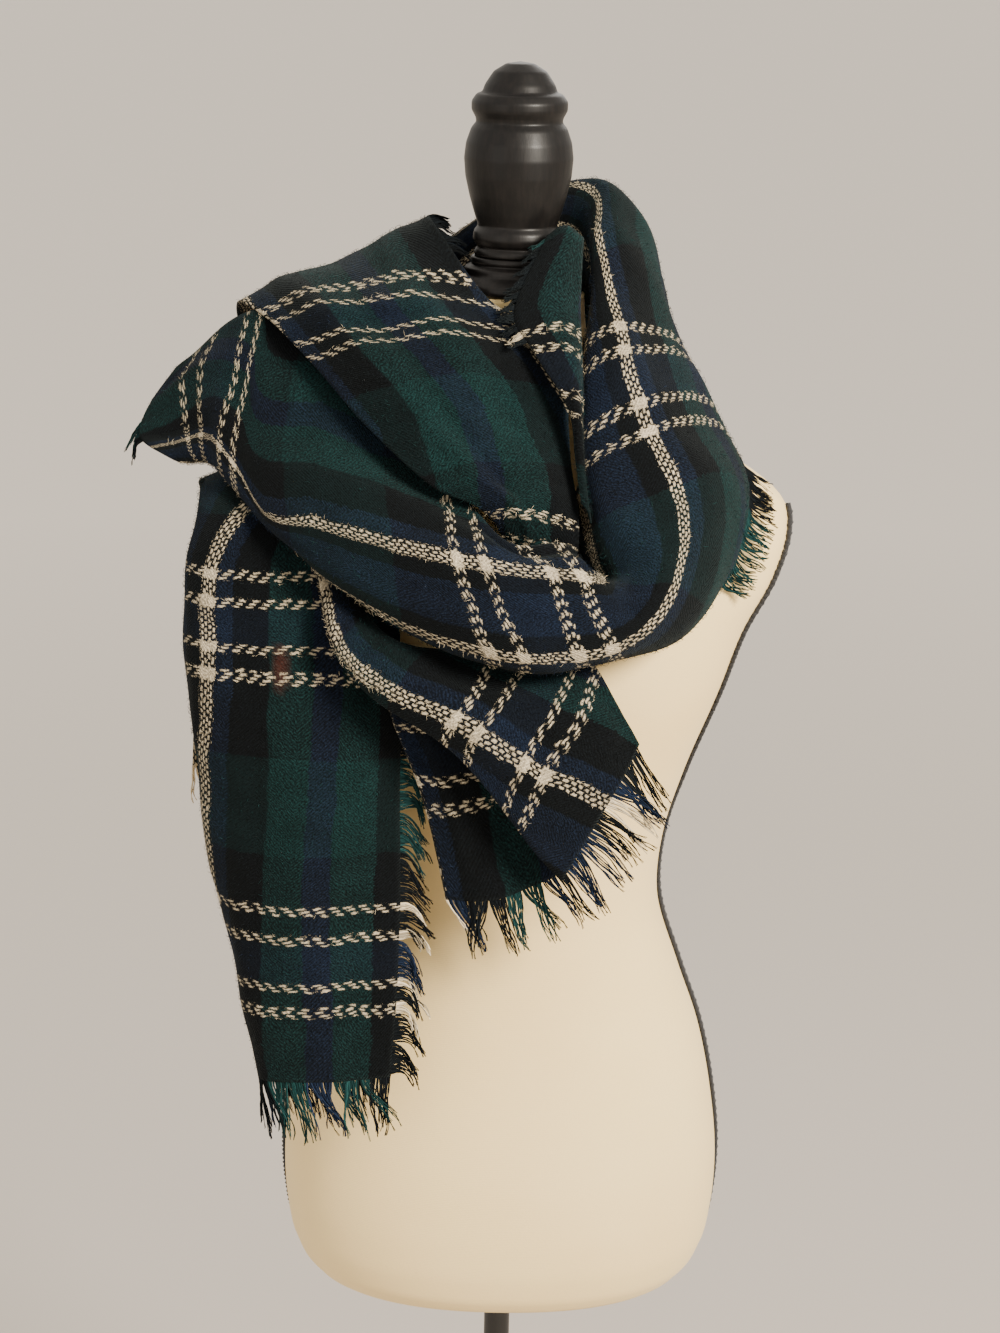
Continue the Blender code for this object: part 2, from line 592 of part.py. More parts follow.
def build():
    clear_scene()
    build_stand()
    ivory = material("ivory jersey", IVORY, 0.9)
    trim = material("black braid", NAVY, 0.8)
    cloth_finish = material("brushed twill", GREEN, 0.95)
    fringe_finish = material("fringe yarn", NAVY, 0.95)

    torso = torso_shape()
    add_object("torso", *torso, ivory)
    braids = {"braid_left": braid_shape(-1), "braid_right": braid_shape(1)}
    for name, shape in braids.items():
        add_object(name, *shape, trim)

    tail = Cloth(TAIL_COLUMNS, TAIL_ROWS)
    ring = Cloth(RING_COLUMNS, RING_ROWS)
    panel = Cloth(PANEL_COLUMNS, PANEL_ROWS)
    fold = Cloth(FOLD_COLUMNS, FOLD_ROWS)
    flap = Cloth(FLAP_COLUMNS, FLAP_ROWS)
    pleat = Cloth(PLEAT_COLUMNS, PLEAT_ROWS)

    # Each cloth, the way it settles, and the stretches that it is cut into
    layers = (
        (tail, (0, 0, -1), (("front_tail", None, 450), ("shoulder_layer", 450, 640),
                            ("back_tail", 640, None))),
        (ring, (0, 0, -1), (("nape_wrap", None, 715), ("neck_loop", 715, 1010),
                            ("cowl_swag", 1010, 1275), ("shoulder_drop", 1275, None))),
        (pleat, (0, 1, 0), (("tail_pleat", None, None),)),
        (flap, (0, 1, 0), (("tail_flap", None, None),)),
        (panel, (0, 0, -1), (("upper_panel", None, None),)),
        (fold, (1, 0.3, 0), (("inner_fold", None, None),)),
    )
    carriers = [torso] + list(braids.values())
    for cloth, heading, cuts in layers:
        seat(cloth, [stretch_shape(cloth, low, high) for _, low, high in cuts],
             carriers, heading)
        for name, low, high in cuts:
            shape = stretch_shape(cloth, low, high)
            carriers.append(shape)
            add_object(name, *shape, cloth_finish)

    fringes = {
        "tail_end_fringe": fringe_shape(tail, "first row", END_REACH, fall=0.2),
        "tail_side_fringe": fringe_shape(tail, "first column", SIDE_REACH, 4, 290, 0.6),
        "back_end_fringe": fringe_shape(tail, "last row", END_REACH, fall=0.2),
        "flap_fringe": fringe_shape(flap, "first row", END_REACH, fall=0.5),
        "pleat_fringe": fringe_shape(pleat, "first row", END_REACH, fall=0.3),
        "drop_fringe": fringe_shape(ring, "last row", END_REACH * 0.6, 0.04, 0.42, 0.8),
        "panel_fringe": fringe_shape(panel, "last column", SIDE_REACH / 2, 230, 275, 0.1),
        "fold_fringe": fringe_shape(fold, "first column", SIDE_REACH / 2, 752, 865, 0.2),
        "shoulder_fringe": resting_fringe(ring, torso, 890, 990, SIDE_REACH, (1, 0.1, -0.35)),
    }
    for name, shape in fringes.items():
        add_object(name, *shape, fringe_finish)


build()
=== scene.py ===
# %% [markdown]
# # A plaid blanket scarf on a limbless dress form
#
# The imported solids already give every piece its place. This file gives them
# their looks: a finer mesh for each stretch of cloth, a woven plaid made of
# shader nodes, loose yarns for the fringes, and a jersey and turned-wood stand.
# Units are metres, +Z is up and -Y is the front.

# %% Load the frame
import math

import bpy
import numpy as np
from mathutils import Matrix, Vector
from mathutils.bvhtree import BVHTree


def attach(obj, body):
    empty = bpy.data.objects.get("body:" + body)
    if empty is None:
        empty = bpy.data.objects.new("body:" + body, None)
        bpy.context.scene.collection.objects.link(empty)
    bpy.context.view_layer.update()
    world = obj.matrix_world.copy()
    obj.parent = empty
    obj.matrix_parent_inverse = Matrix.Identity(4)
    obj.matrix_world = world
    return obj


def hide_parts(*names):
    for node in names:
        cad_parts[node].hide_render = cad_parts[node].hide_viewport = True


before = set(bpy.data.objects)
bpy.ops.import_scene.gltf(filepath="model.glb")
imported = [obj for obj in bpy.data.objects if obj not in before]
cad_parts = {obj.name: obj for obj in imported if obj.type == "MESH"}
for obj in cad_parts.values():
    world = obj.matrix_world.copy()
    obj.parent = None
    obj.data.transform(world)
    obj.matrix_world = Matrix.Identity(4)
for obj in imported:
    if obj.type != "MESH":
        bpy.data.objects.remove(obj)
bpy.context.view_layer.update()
MM = 0.001
rng = np.random.default_rng(11)
print("solids", len(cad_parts))

# %% [markdown]
# ## Surfaces of the cloth
#
# A scarf is one flat square, so each run of it is described the way a pattern
# cutter would: rows across the cloth, each with its place along the scarf in
# millimetres and one point for every named column. A smooth curve through the
# points gives the surface. These are the same surfaces as the solids have.

# %% The front tail, over the shoulder, and down the back
TAIL_COLUMNS = ("free edge", "green", "black", "stripe", "turn", "inside")
TAIL_ROWS = (
    (0, (-81, -150, 906), (-121, -156, 904), (-172, -146, 900),
        (-170, -114, 900), (-142, -106, 902), (-98, -112, 905)),
    (60, (-77, -149, 968), (-122, -158, 966), (-176, -150, 963),
         (-190, -116, 962), (-166, -102, 963), (-122, -106, 966)),
    (125, (-75, -148, 1031), (-124, -160, 1030), (-176, -152, 1028),
          (-206, -120, 1027), (-190, -98, 1027), (-146, -96, 1029)),
    (225, (-76, -144, 1126), (-120, -156, 1126), (-171, -151, 1125),
          (-216, -124, 1125), (-216, -98, 1125), (-176, -78, 1127)),
    (300, (-76, -136, 1204), (-116, -142, 1204), (-170, -140, 1204),
          (-211, -130, 1204), (-231, -106, 1204), (-206, -70, 1207)),
    (375, (-84, -110, 1281), (-122, -112, 1281), (-169, -112, 1280),
          (-209, -108, 1280), (-229, -88, 1280), (-212, -54, 1283)),
    (430, (-98, -82, 1328), (-121, -83, 1328), (-149, -84, 1325),
          (-182, -86, 1318), (-217, -74, 1314), (-226, -44, 1317)),
    (480, (-102, -46, 1369), (-122, -46, 1360), (-146, -46, 1351),
          (-174, -46, 1341), (-206, -42, 1328), (-227, -28, 1319)),
    (540, (-100, 6, 1373), (-120, 7, 1360), (-144, 8, 1347),
          (-170, 9, 1333), (-198, 10, 1318), (-222, 8, 1303)),
    (600, (-97, 66, 1357), (-119, 71, 1346), (-146, 74, 1334),
          (-173, 74, 1321), (-201, 68, 1307), (-227, 56, 1291)),
    (680, (-92, 112, 1288), (-120, 117, 1283), (-150, 118, 1274),
          (-179, 113, 1264), (-208, 102, 1252), (-234, 84, 1240)),
    (780, (-88, 126, 1190), (-116, 129, 1186), (-148, 128, 1180),
          (-181, 119, 1172), (-213, 104, 1164), (-241, 82, 1156)),
    (880, (-86, 128, 1092), (-114, 134, 1089), (-146, 129, 1084),
          (-180, 122, 1078), (-214, 106, 1072), (-246, 82, 1066)),
)

# %% The ring: round the nape, the loop at the side, the swag and the shoulder
RING_COLUMNS = ("top", "upper", "middle stripe", "between", "rim stripe",
                "outer", "back", "end")
RING_ROWS = (
    (560, (-54, 42, 1430), (-58, 46, 1443), (-62, 50, 1455), (-66, 55, 1466),
          (-71, 61, 1470), (-77, 72, 1459), (-85, 82, 1428), (-94, 92, 1378)),
    (630, (-2, 62, 1462), (-2, 66, 1478), (-2, 71, 1494), (-2, 78, 1510),
          (-2, 88, 1519), (-2, 102, 1509), (-2, 116, 1470), (-2, 122, 1396)),
    (690, (42, 44, 1462), (44, 45, 1478), (46, 46, 1494), (49, 48, 1509),
          (53, 52, 1524), (63, 62, 1533), (88, 80, 1500), (106, 94, 1420)),
    (740, (62, -2, 1432), (59, -6, 1447), (57, -9, 1463), (56, -8, 1479),
          (58, -2, 1496), (74, 14, 1505), (97, 38, 1480), (118, 62, 1410)),
    (810, (56, -58, 1388), (51, -58, 1401), (47, -58, 1415), (51, -62, 1429),
          (71, -58, 1439), (97, -32, 1436), (119, 4, 1421), (136, 36, 1382)),
    (850, (54, -80, 1348), (49, -83, 1363), (46, -87, 1379), (52, -93, 1394),
          (80, -86, 1405), (109, -56, 1407), (135, -12, 1395), (153, 16, 1358)),
    (885, (41, -87, 1321), (49, -106, 1329), (47, -113, 1344), (56, -120, 1360),
          (93, -110, 1375), (121, -80, 1379), (148, -32, 1367), (167, -8, 1337)),
    (945, (42, -104, 1295), (56, -134, 1297), (60, -146, 1308), (81, -152, 1322),
          (115, -140, 1332), (145, -108, 1334), (163, -74, 1321), (168, -66, 1303)),
    (990, (50, -123, 1282), (62, -148, 1282), (70, -161, 1286), (93, -169, 1292),
          (115, -160, 1297), (139, -134, 1285), (151, -100, 1272), (150, -82, 1262)),
    (1030, (47, -150, 1288), (52, -163, 1288), (63, -178, 1284), (81, -188, 1272),
           (98, -183, 1262), (115, -160, 1243), (121, -128, 1234), (118, -108, 1238)),
    (1064, (33, -162, 1307), (40, -176, 1301), (49, -188, 1289), (60, -198, 1266),
           (69, -196, 1243), (75, -180, 1231), (76, -156, 1226), (74, -132, 1231)),
    (1082, (6, -166, 1305), (15, -180, 1300), (27, -191, 1292), (37, -203, 1264),
           (46, -201, 1239), (49, -188, 1227), (49, -166, 1222), (48, -144, 1226)),
    (1120, (-29, -140, 1328), (-24, -165, 1313), (-17, -189, 1296), (-4, -204, 1265),
           (10, -206, 1237), (11, -194, 1225), (10, -174, 1219), (9, -152, 1224)),
    (1180, (-86, -96, 1372), (-84, -136, 1340), (-76, -173, 1305), (-72, -184, 1274),
           (-68, -179, 1249), (-64, -166, 1239), (-60, -151, 1240), (-58, -140, 1252)),
    (1240, (-131, -62, 1416), (-138, -108, 1360), (-134, -145, 1313), (-132, -153, 1287),
           (-128, -150, 1277), (-122, -146, 1277), (-118, -143, 1286), (-115, -140, 1297)),
    (1285, (-170, -36, 1440), (-182, -74, 1372), (-176, -112, 1317), (-171, -115, 1304),
           (-165, -113, 1301), (-159, -110, 1306), (-155, -107, 1317), (-152, -104, 1330)),
    (1318, (-181, -30, 1445), (-191, -60, 1390), (-199, -82, 1350), (-194, -95, 1325),
           (-187, -95, 1319), (-181, -91, 1324), (-178, -87, 1335), (-176, -82, 1347)),
    (1336, (-192, -26, 1442), (-199, -54, 1398), (-210, -71, 1362), (-206, -81, 1334),
           (-200, -77, 1328), (-194, -70, 1331), (-191, -63, 1341), (-189, -56, 1353)),
    (1375, (-215, -6, 1425), (-225, -31, 1395), (-225, -50, 1366), (-221, -62, 1344),
           (-216, -59, 1337), (-210, -52, 1339), (-207, -45, 1347), (-205, -38, 1357)),
    (1393, (-229, -3, 1411), (-238, -26, 1387), (-236, -44, 1361), (-229, -57, 1344),
           (-224, -55, 1338), (-218, -48, 1339), (-215, -41, 1346), (-213, -34, 1354)),
    (1441, (-247, 2, 1396), (-265, -18, 1370), (-270, -32, 1350), (-251, -48, 1341),
           (-240, -52, 1337), (-232, -47, 1338), (-228, -40, 1343), (-225, -32, 1350)),
)

# %% The panel across the chest, the fold inside the loop, the flap and the pleat
PANEL_COLUMNS = ("roll", "left", "middle", "right", "frayed edge")
PANEL_ROWS = (
    (120, (-194, 96, 1328), (-160, 116, 1343), (-124, 127, 1358), (-94, 132, 1372),
          (-72, 132, 1386)),
    (200, (-199, 58, 1408), (-163, 84, 1426), (-126, 98, 1442), (-98, 104, 1455),
          (-76, 104, 1467)),
    (232, (-204, 22, 1434), (-167, 44, 1456), (-128, 54, 1471), (-94, 57, 1487),
          (-65, 54, 1501)),
    (262, (-200, -10, 1449), (-166, 6, 1465), (-126, 10, 1476), (-90, 10, 1491),
          (-60, 6, 1505)),
    (302, (-175, -44, 1440), (-140, -54, 1455), (-105, -61, 1461), (-64, -62, 1465),
          (-18, -60, 1459)),
    (340, (-158, -64, 1428), (-125, -76, 1440), (-90, -82, 1445), (-41, -81, 1449),
          (21, -63, 1440)),
    (377, (-137, -86, 1411), (-105, -98, 1424), (-72, -102, 1432), (-26, -98, 1433),
          (37, -74, 1417)),
    (440, (-99, -121, 1376), (-71, -129, 1388), (-42, -127, 1394), (-2, -112, 1392),
          (38, -90, 1380)),
    (500, (-55, -148, 1343), (-33, -150, 1350), (-8, -146, 1353), (19, -137, 1350),
          (41, -121, 1344)),
    (556, (-11, -146, 1317), (3, -152, 1318), (18, -152, 1316), (33, -147, 1312),
          (46, -139, 1307)),
    (575, (-2, -137, 1294), (10, -140, 1290), (24, -140, 1287), (36, -138, 1285),
          (44, -134, 1283)),
)

FOLD_COLUMNS = ("frayed edge", "crest", "valley")
FOLD_ROWS = (
    (750, (20, -38, 1500), (33, -32, 1507), (46, -22, 1497)),
    (790, (-2, -77, 1452), (28, -73, 1461), (44, -63, 1453)),
    (830, (12, -101, 1427), (38, -97, 1427), (46, -88, 1416)),
    (880, (36, -116, 1391), (44, -118, 1389), (47, -111, 1377)),
    (930, (42, -130, 1357), (47, -133, 1353), (49, -127, 1343)),
    (970, (46, -146, 1330), (51, -149, 1324), (53, -142, 1315)),
)

FLAP_COLUMNS = ("low", "stripe", "right", "tuck")
FLAP_ROWS = (
    (0, (39, -184, 1068), (69, -190, 1127), (84, -178, 1152), (91, -170, 1165)),
    (28, (20, -187, 1090), (46, -193, 1140), (66, -182, 1174), (75, -163, 1193)),
    (56, (4, -188, 1112), (19, -195, 1152), (42, -182, 1190), (56, -146, 1219)),
    (114, (-36, -188, 1160), (-29, -194, 1182), (-12, -178, 1201), (3, -141, 1222)),
    (180, (-91, -180, 1196), (-88, -184, 1207), (-78, -176, 1220), (-69, -160, 1231)),
    (240, (-119, -163, 1222), (-118, -168, 1229), (-108, -160, 1239), (-98, -147, 1246)),
    (290, (-129, -140, 1252), (-129, -144, 1257), (-120, -137, 1264), (-112, -127, 1267)),
    (340, (-140, -108, 1290), (-141, -112, 1295), (-134, -108, 1302), (-127, -101, 1306)),
)

PLEAT_COLUMNS = ("left", "middle", "right")
PLEAT_ROWS = (
    (0, (-42, -164, 1043), (-6, -171, 1046), (35, -167, 1062)),
    (57, (-60, -162, 1118), (-28, -169, 1124), (10, -164, 1132)),
    (105, (-80, -158, 1168), (-46, -164, 1170), (-10, -159, 1174)),
    (150, (-90, -152, 1198), (-62, -155, 1202), (-34, -151, 1204)),
    (175, (-93, -149, 1213), (-70, -151, 1217), (-48, -148, 1219)),
)


# %% A smooth curve through table values
def spline(knots, values, at):
    """A smooth curve through values at knots, read at the places in at."""
    knots = np.asarray(knots, float)
    values = np.asarray(values, float)
    at = np.clip(np.asarray(at, float), knots[0], knots[-1])
    steps = np.diff(knots)
    shape = (-1,) + (1,) * (values.ndim - 1)
    slopes = np.diff(values, axis=0) / steps.reshape(shape)
    tangents = np.empty_like(values)
    tangents[0] = slopes[0]
    tangents[-1] = slopes[-1]
    before = steps[:-1].reshape(shape)
    after = steps[1:].reshape(shape)
    tangents[1:-1] = (slopes[:-1] * after + slopes[1:] * before) / (before + after)
    span = np.clip(np.searchsorted(knots, at, side="right") - 1, 0, len(steps) - 1)
    width = steps[span].reshape(shape)
    t = ((at - knots[span]) / steps[span]).reshape(shape)
    return (values[span] * (2 * t**3 - 3 * t**2 + 1)
            + tangents[span] * width * (t**3 - 2 * t**2 + t)
            + values[span + 1] * (3 * t**2 - 2 * t**3)
            + tangents[span + 1] * width * (t**3 - t**2))


# %% [markdown]
# ## The sett
#
# A plaid is the same list of coloured yarns in both directions. Each table row
# is a colour and the millimetre at which it starts within one repeat of 254 mm:
# one list for the warp, counted from the scarf's side edge, and one for the
# weft, counted from its frayed end.

# %% Colours and the sett
def linear(hex_colour):
    """An sRGB hex colour as the linear values that a shader takes."""
    channels = [int(hex_colour[i:i + 2], 16) / 255 for i in (1, 3, 5)]
    return tuple(c / 12.92 if c <= 0.04045 else ((c + 0.055) / 1.055) ** 2.4
                 for c in channels)


REPEAT = 254.0
YARN_COLOURS = {
    "black": linear("#050709"),
    "navy": linear("#0c1320"),
    "green": linear("#0a1e1e"),
    "white": linear("#bdb096"),
}
WARP_SETT = (
    # starts at, colour
    (0, "black"), (18, "green"), (50, "navy"), (69, "green"), (98, "black"),
    (127, "navy"), (139, "white"), (151, "black"), (166, "navy"), (206, "black"),
    (221, "white"), (232, "navy"), (245, "black"),
)
WEFT_SETT = (
    (0, "black"), (44, "white"), (52, "black"), (62, "white"), (69, "navy"),
    (101, "white"), (108, "black"), (119.5, "white"), (127, "black"), (169, "green"),
    (246, "black"),
)
print("warp stripes", len(WARP_SETT), "weft stripes", len(WEFT_SETT))


# %% [markdown]
# ## Small helpers for shader nodes

# %% Node helpers
def add_node(tree, kind, settings=None, inputs=None):
    """A node with its settings, and its inputs set to values or linked to sockets."""
    node = tree.nodes.new(kind)
    for key, value in (settings or {}).items():
        setattr(node, key, value)
    for key, value in (inputs or {}).items():
        if isinstance(value, bpy.types.NodeSocket):
            tree.links.new(value, node.inputs[key])
        else:
            node.inputs[key].default_value = value
    return node


def maths(tree, operation, a, b=None, c=None):
    values = {i: v for i, v in enumerate((a, b, c)) if v is not None}
    return add_node(tree, "ShaderNodeMath", {"operation": operation}, values).outputs[0]


def plus(tree, a, b):
    return maths(tree, "ADD", a, b)


def times(tree, a, b):
    return maths(tree, "MULTIPLY", a, b)


def centred(tree, value):
    """A value between 0 and 1, moved to lie between -0.5 and 0.5."""
    return maths(tree, "SUBTRACT", value, 0.5)


def remap(tree, value, low, high, to_low=0.0, to_high=1.0):
    """The value carried from one range to another, and held at the ends of it."""
    return add_node(tree, "ShaderNodeMapRange", inputs={
        0: value, 1: low, 2: high, 3: to_low, 4: to_high}).outputs[0]


def noise(tree, place, scale, detail=2.0, roughness=0.5, dimensions="3D"):
    return add_node(tree, "ShaderNodeTexNoise", {"noise_dimensions": dimensions}, {
        "Vector": place, "Scale": scale, "Detail": detail, "Roughness": roughness}).outputs[0]


def paint(hex_colour):
    """A hex colour as the four numbers of a colour socket."""
    return (*linear(hex_colour), 1)


def mix_colour(tree, factor, a, b, blend="MIX"):
    return add_node(tree, "ShaderNodeMix", {"data_type": "RGBA", "blend_type": blend},
                    {0: factor, 6: a, 7: b}).outputs[2]


def object_place(tree):
    return add_node(tree, "ShaderNodeTexCoord").outputs["Object"]


def finish_shader(tree, shader, colour, values, bump=None):
    """Link the colour, set the shader's own sockets, and add a bump if there is one:
    its height, its strength, and its depth in metres."""
    tree.links.new(colour, shader.inputs["Base Color"])
    for key, value in values.items():
        shader.inputs[key].default_value = value
    if bump:
        height, strength, depth = bump
        relief = add_node(tree, "ShaderNodeBump", inputs={
            "Height": height, "Strength": strength, "Distance": depth})
        tree.links.new(relief.outputs[0], shader.inputs["Normal"])


def new_material(name):
    made = bpy.data.materials.new(name)
    made.use_nodes = True
    tree = made.node_tree
    return made, tree, tree.nodes["Principled BSDF"]


def attribute(tree, name):
    return add_node(tree, "ShaderNodeAttribute", {"attribute_name": name}).outputs["Fac"]


# %% [markdown]
# ## Brushed twill
#
# The loom lets each warp yarn pass over two weft yarns and under two, one yarn
# further along on every row. That makes the slanted rib of twill, and it is why
# a white stripe looks like a chain of short dashes. The shader works it out
# from two numbers stored on every point of the cloth: its place across and
# along the flat scarf. Brushing then raises a haze of fibre over the weave.

# %% The plaid material
RIB = 1.9           # mm from one twill rib to the next
WARP_DASH = (2.7, 5.6, 0.62)      # row width, mm from dash to dash, part that shows
WEFT_DASH = (2.4, 10.8, 0.46)
TURN_BACK = 26.0    # mm from one turn of the twill rib to the next
WANDER = 5.0        # mm, the whole range of the stripes' slow straying
SHIVER = 2.6        # mm, and of their quick straying
FUZZ = 6.0          # mm, the whole range of the blur where two stripes meet


def sett_ramp(tree, place, sett):
    """The ground colour at a place in the sett, and 1 where the yarn is white."""
    ramp = add_node(tree, "ShaderNodeValToRGB", inputs={
        0: maths(tree, "DIVIDE", maths(tree, "FLOORED_MODULO", place, REPEAT), REPEAT)})
    bands = ramp.color_ramp
    bands.interpolation = "CONSTANT"
    while len(bands.elements) > 1:
        bands.elements.remove(bands.elements[-1])
    bands.elements[0].position = 0.0
    for i, (start, colour) in enumerate(sett):
        band = bands.elements[0] if i == 0 else bands.elements.new(start / REPEAT)
        is_white = colour == "white"
        band.color = (*YARN_COLOURS["black" if is_white else colour], 1.0 if is_white else 0.0)
    return ramp.outputs[0], ramp.outputs[1]


def soft_step(tree, value, edge, blur):
    """1 below the edge and 0 above it, with a soft change over the blur."""
    return remap(tree, value, edge - blur, edge + blur, 1.0, 0.0)


def dashes(tree, rows_along, dash_along, size, offset, ragged):
    """Rows of soft-ended dashes, each row moved on from the last."""
    row_width, pitch, shown = size
    row = maths(tree, "DIVIDE", rows_along, row_width)
    moved = plus(tree, maths(tree, "DIVIDE", dash_along, pitch), offset(maths(tree, "FLOOR", row)))
    parts = []
    for value, edge, blur in ((moved, shown / 2, 0.05), (row, 0.30, 0.08)):
        from_middle = maths(tree, "ABSOLUTE", centred(tree, maths(tree, "FRACT", value)))
        parts.append(soft_step(tree, plus(tree, from_middle, ragged), edge, blur))
    return times(tree, *parts)


def plaid_material():
    made, tree, shader = new_material("brushed plaid twill")
    across = attribute(tree, "warp_mm")
    along = attribute(tree, "weft_mm")
    weave = attribute(tree, "weave")
    white = (*YARN_COLOURS["white"], 1)
    place = add_node(tree, "ShaderNodeCombineXYZ", inputs={0: across, 1: along}).outputs[0]
    wander = noise(tree, place, 0.035, 3.0, dimensions="2D")
    shiver = noise(tree, place, 0.16, 2.0, dimensions="2D")
    fibre = noise(tree, place, 0.6, 4.0, 0.8, dimensions="2D")
    cover = noise(tree, place, 0.05, 3.0, dimensions="2D")
    haze = centred(tree, fibre)
    # Yarns wander a little, so the stripes are not ruled lines
    drift = plus(tree, times(tree, centred(tree, wander), WANDER),
                 times(tree, centred(tree, shiver), SHIVER))
    across = plus(tree, across, drift)
    along = maths(tree, "SUBTRACT", along, drift)
    # Fibres blur the border between two stripes
    fuzz = times(tree, haze, FUZZ)
    warp, warp_white = sett_ramp(tree, plus(tree, across, fuzz), WARP_SETT)
    weft, weft_white = sett_ramp(tree, plus(tree, along, fuzz), WEFT_SETT)
    # The twill rib turns back on itself every few yarns, as a broken twill does
    fold_back = maths(tree, "PINGPONG", across, TURN_BACK)
    rib = maths(tree, "SINE", times(tree, plus(tree, fold_back, along),
                                    2 * math.pi / (RIB * math.sqrt(2))))
    share = remap(tree, plus(tree, times(tree, rib, 0.25), times(tree, haze, 2.2)),
                  -0.6, 0.6, 0.42, 0.88)
    ground = mix_colour(tree, share, weft, warp)
    # White yarns show as dashes, and as a solid square where they cross
    ragged = times(tree, haze, 0.8)
    warp_dash = dashes(tree, across, along, WARP_DASH, lambda row: times(tree, row, 0.5), ragged)
    weft_dash = dashes(tree, along, across, WEFT_DASH, lambda row: times(
        tree, maths(tree, "PINGPONG", row, 2.0), 0.25), ragged)
    lit = maths(tree, "MAXIMUM", times(tree, warp_white, warp_dash),
                times(tree, weft_white, weft_dash))
    crossing = times(tree, times(tree, warp_white, weft_white),
                     remap(tree, fibre, 0.3, 0.5, 0.62, 1.0))
    lit = maths(tree, "MAXIMUM", lit, crossing)
    worn = remap(tree, plus(tree, fibre, times(tree, cover, 0.5)), 0.55, 0.95, 0.55, 0.95)
    woven = mix_colour(tree, times(tree, lit, worn), ground, white)
    # A loose yarn has one colour: its own place in the warp or the weft
    is_cloth = maths(tree, "COMPARE", weave, 0.5, 0.1)
    is_warp = maths(tree, "GREATER_THAN", weave, 0.5)
    single = mix_colour(tree, is_warp, weft, warp)
    single_white = plus(tree, times(tree, is_warp, warp_white),
                        times(tree, maths(tree, "SUBTRACT", 1.0, is_warp), weft_white))
    single = mix_colour(tree, 1.0, single, (2.2, 2.2, 2.2, 1), "MULTIPLY")
    single = mix_colour(tree, single_white, single, white)
    colour = mix_colour(tree, is_cloth, single, woven)
    # Light catches the raised fibres, and the gaps between them are dark
    grain = remap(tree, fibre, 0.36, 0.66, 0.25, 2.0)
    soft = remap(tree, cover, 0.3, 0.7, 0.85, 1.15)
    ribbed = remap(tree, rib, -1.0, 1.0, 0.72, 1.25)
    value = times(tree, times(tree, grain, soft), ribbed)
    calm = plus(tree, times(tree, value, 0.35), 0.65)
    value = mix_colour(tree, lit, value, calm)
    colour = mix_colour(tree, 1.0, colour, value, "MULTIPLY")
    # A rust mark, where the point attribute says how strong it is
    rust = times(tree, remap(tree, fibre, 0.3, 0.6, 0.35, 1.0), 0.55)
    colour = mix_colour(tree, times(tree, attribute(tree, "stain"), rust), colour,
                        paint("#4c2116"))
    height = plus(tree, plus(tree, times(tree, rib, 0.3), fibre), times(tree, lit, 0.5))
    finish_shader(tree, shader, colour, {
        "Roughness": 0.95, "IOR": 1.45, "Specular IOR Level": 0.12, "Sheen Weight": 0.08,
        "Sheen Roughness": 0.45, "Sheen Tint": paint("#93a5a6")}, (height, 0.7, 0.0007))
    return made


plaid = plaid_material()
print("plaid nodes", len(plaid.node_tree.nodes))

# %% [markdown]
# ## From a table to cloth
#
# `Cloth` reads a surface anywhere. `warp_places` says which warp yarn lies
# under each point: the tables' columns follow known stripes, and between or
# beyond them the distance across the cloth in millimetres gives the place.
# Creases are listed one by one, each a soft ridge (positive height) or trough
# (negative) between two places on the cloth.

# %% Reading a surface
GRID = 0.0030       # spacing of the points
WALL = 0.0016       # one layer of cloth


class Cloth:
    """A smooth sheet through the rows of a table, facing out of the scarf."""

    def __init__(self, columns, rows, settled, facing=1.0):
        self.columns = columns
        self.along = np.array([row[0] for row in rows], float)
        self.points = np.array([row[1:] for row in rows], float) * MM
        chords = np.linalg.norm(np.diff(self.points, axis=1), axis=2).mean(axis=0)
        self.width = float(chords.sum())
        self.across = np.concatenate([[0.0], np.cumsum(chords)]) / self.width
        self.settled = np.array(settled, float) * MM
        self.facing = facing

    def at(self, along, across):
        columns = np.swapaxes(self.points, 0, 1)
        lines = np.swapaxes(spline(self.across, columns, across), 0, 1)
        return spline(self.along, lines, along) + self.settled

    def column(self, name):
        return float(self.across[self.columns.index(name)])


def grid_normals(points):
    down = np.gradient(points, axis=0)
    over = np.gradient(points, axis=1)
    normal = np.cross(down, over)
    return normal / np.maximum(np.linalg.norm(normal, axis=2, keepdims=True), 1e-12)


def warp_places(points, across, anchors, sign):
    """The warp place in mm of every grid point. Anchors are (across, place), where
    place is one number or one for every row; sign is which way the count runs."""
    steps = np.linalg.norm(np.diff(points, axis=1), axis=2) / MM
    walked = np.concatenate([np.zeros((len(points), 1)), np.cumsum(steps, axis=1)], axis=1)
    places = np.empty_like(walked)
    for i, line in enumerate(walked):
        marks = [(np.interp(a, across, line), p if np.isscalar(p) else p[i]) for a, p in anchors]
        first, last = marks[0], marks[-1]
        inner = np.interp(line, [m[0] for m in marks], [m[1] for m in marks])
        inner = np.where(line < first[0], first[1] + sign * (line - first[0]), inner)
        places[i] = np.where(line > last[0], last[1] + sign * (line - last[0]), inner)
    return places


def crease_heights(along, across_mm, creases):
    """Height in metres at every grid point, from soft ridges and troughs."""
    a, c = np.meshgrid(along, across_mm, indexing="ij")
    total = np.zeros_like(a)
    for a0, c0, a1, c1, half, height in creases:
        run = np.array([a1 - a0, c1 - c0], float)
        length = np.hypot(*run)
        t = ((a - a0) * run[0] + (c - c0) * run[1]) / length**2
        inside = np.clip(t, 0, 1)
        distance = np.hypot(a - a0 - inside * run[0], c - c0 - inside * run[1])
        fade = np.clip(np.minimum(t + 0.25, 1.25 - t) / 0.5, 0, 1)
        total += height * MM * np.exp(-(distance / half) ** 2) * (0.35 + 0.65 * fade)
    return total


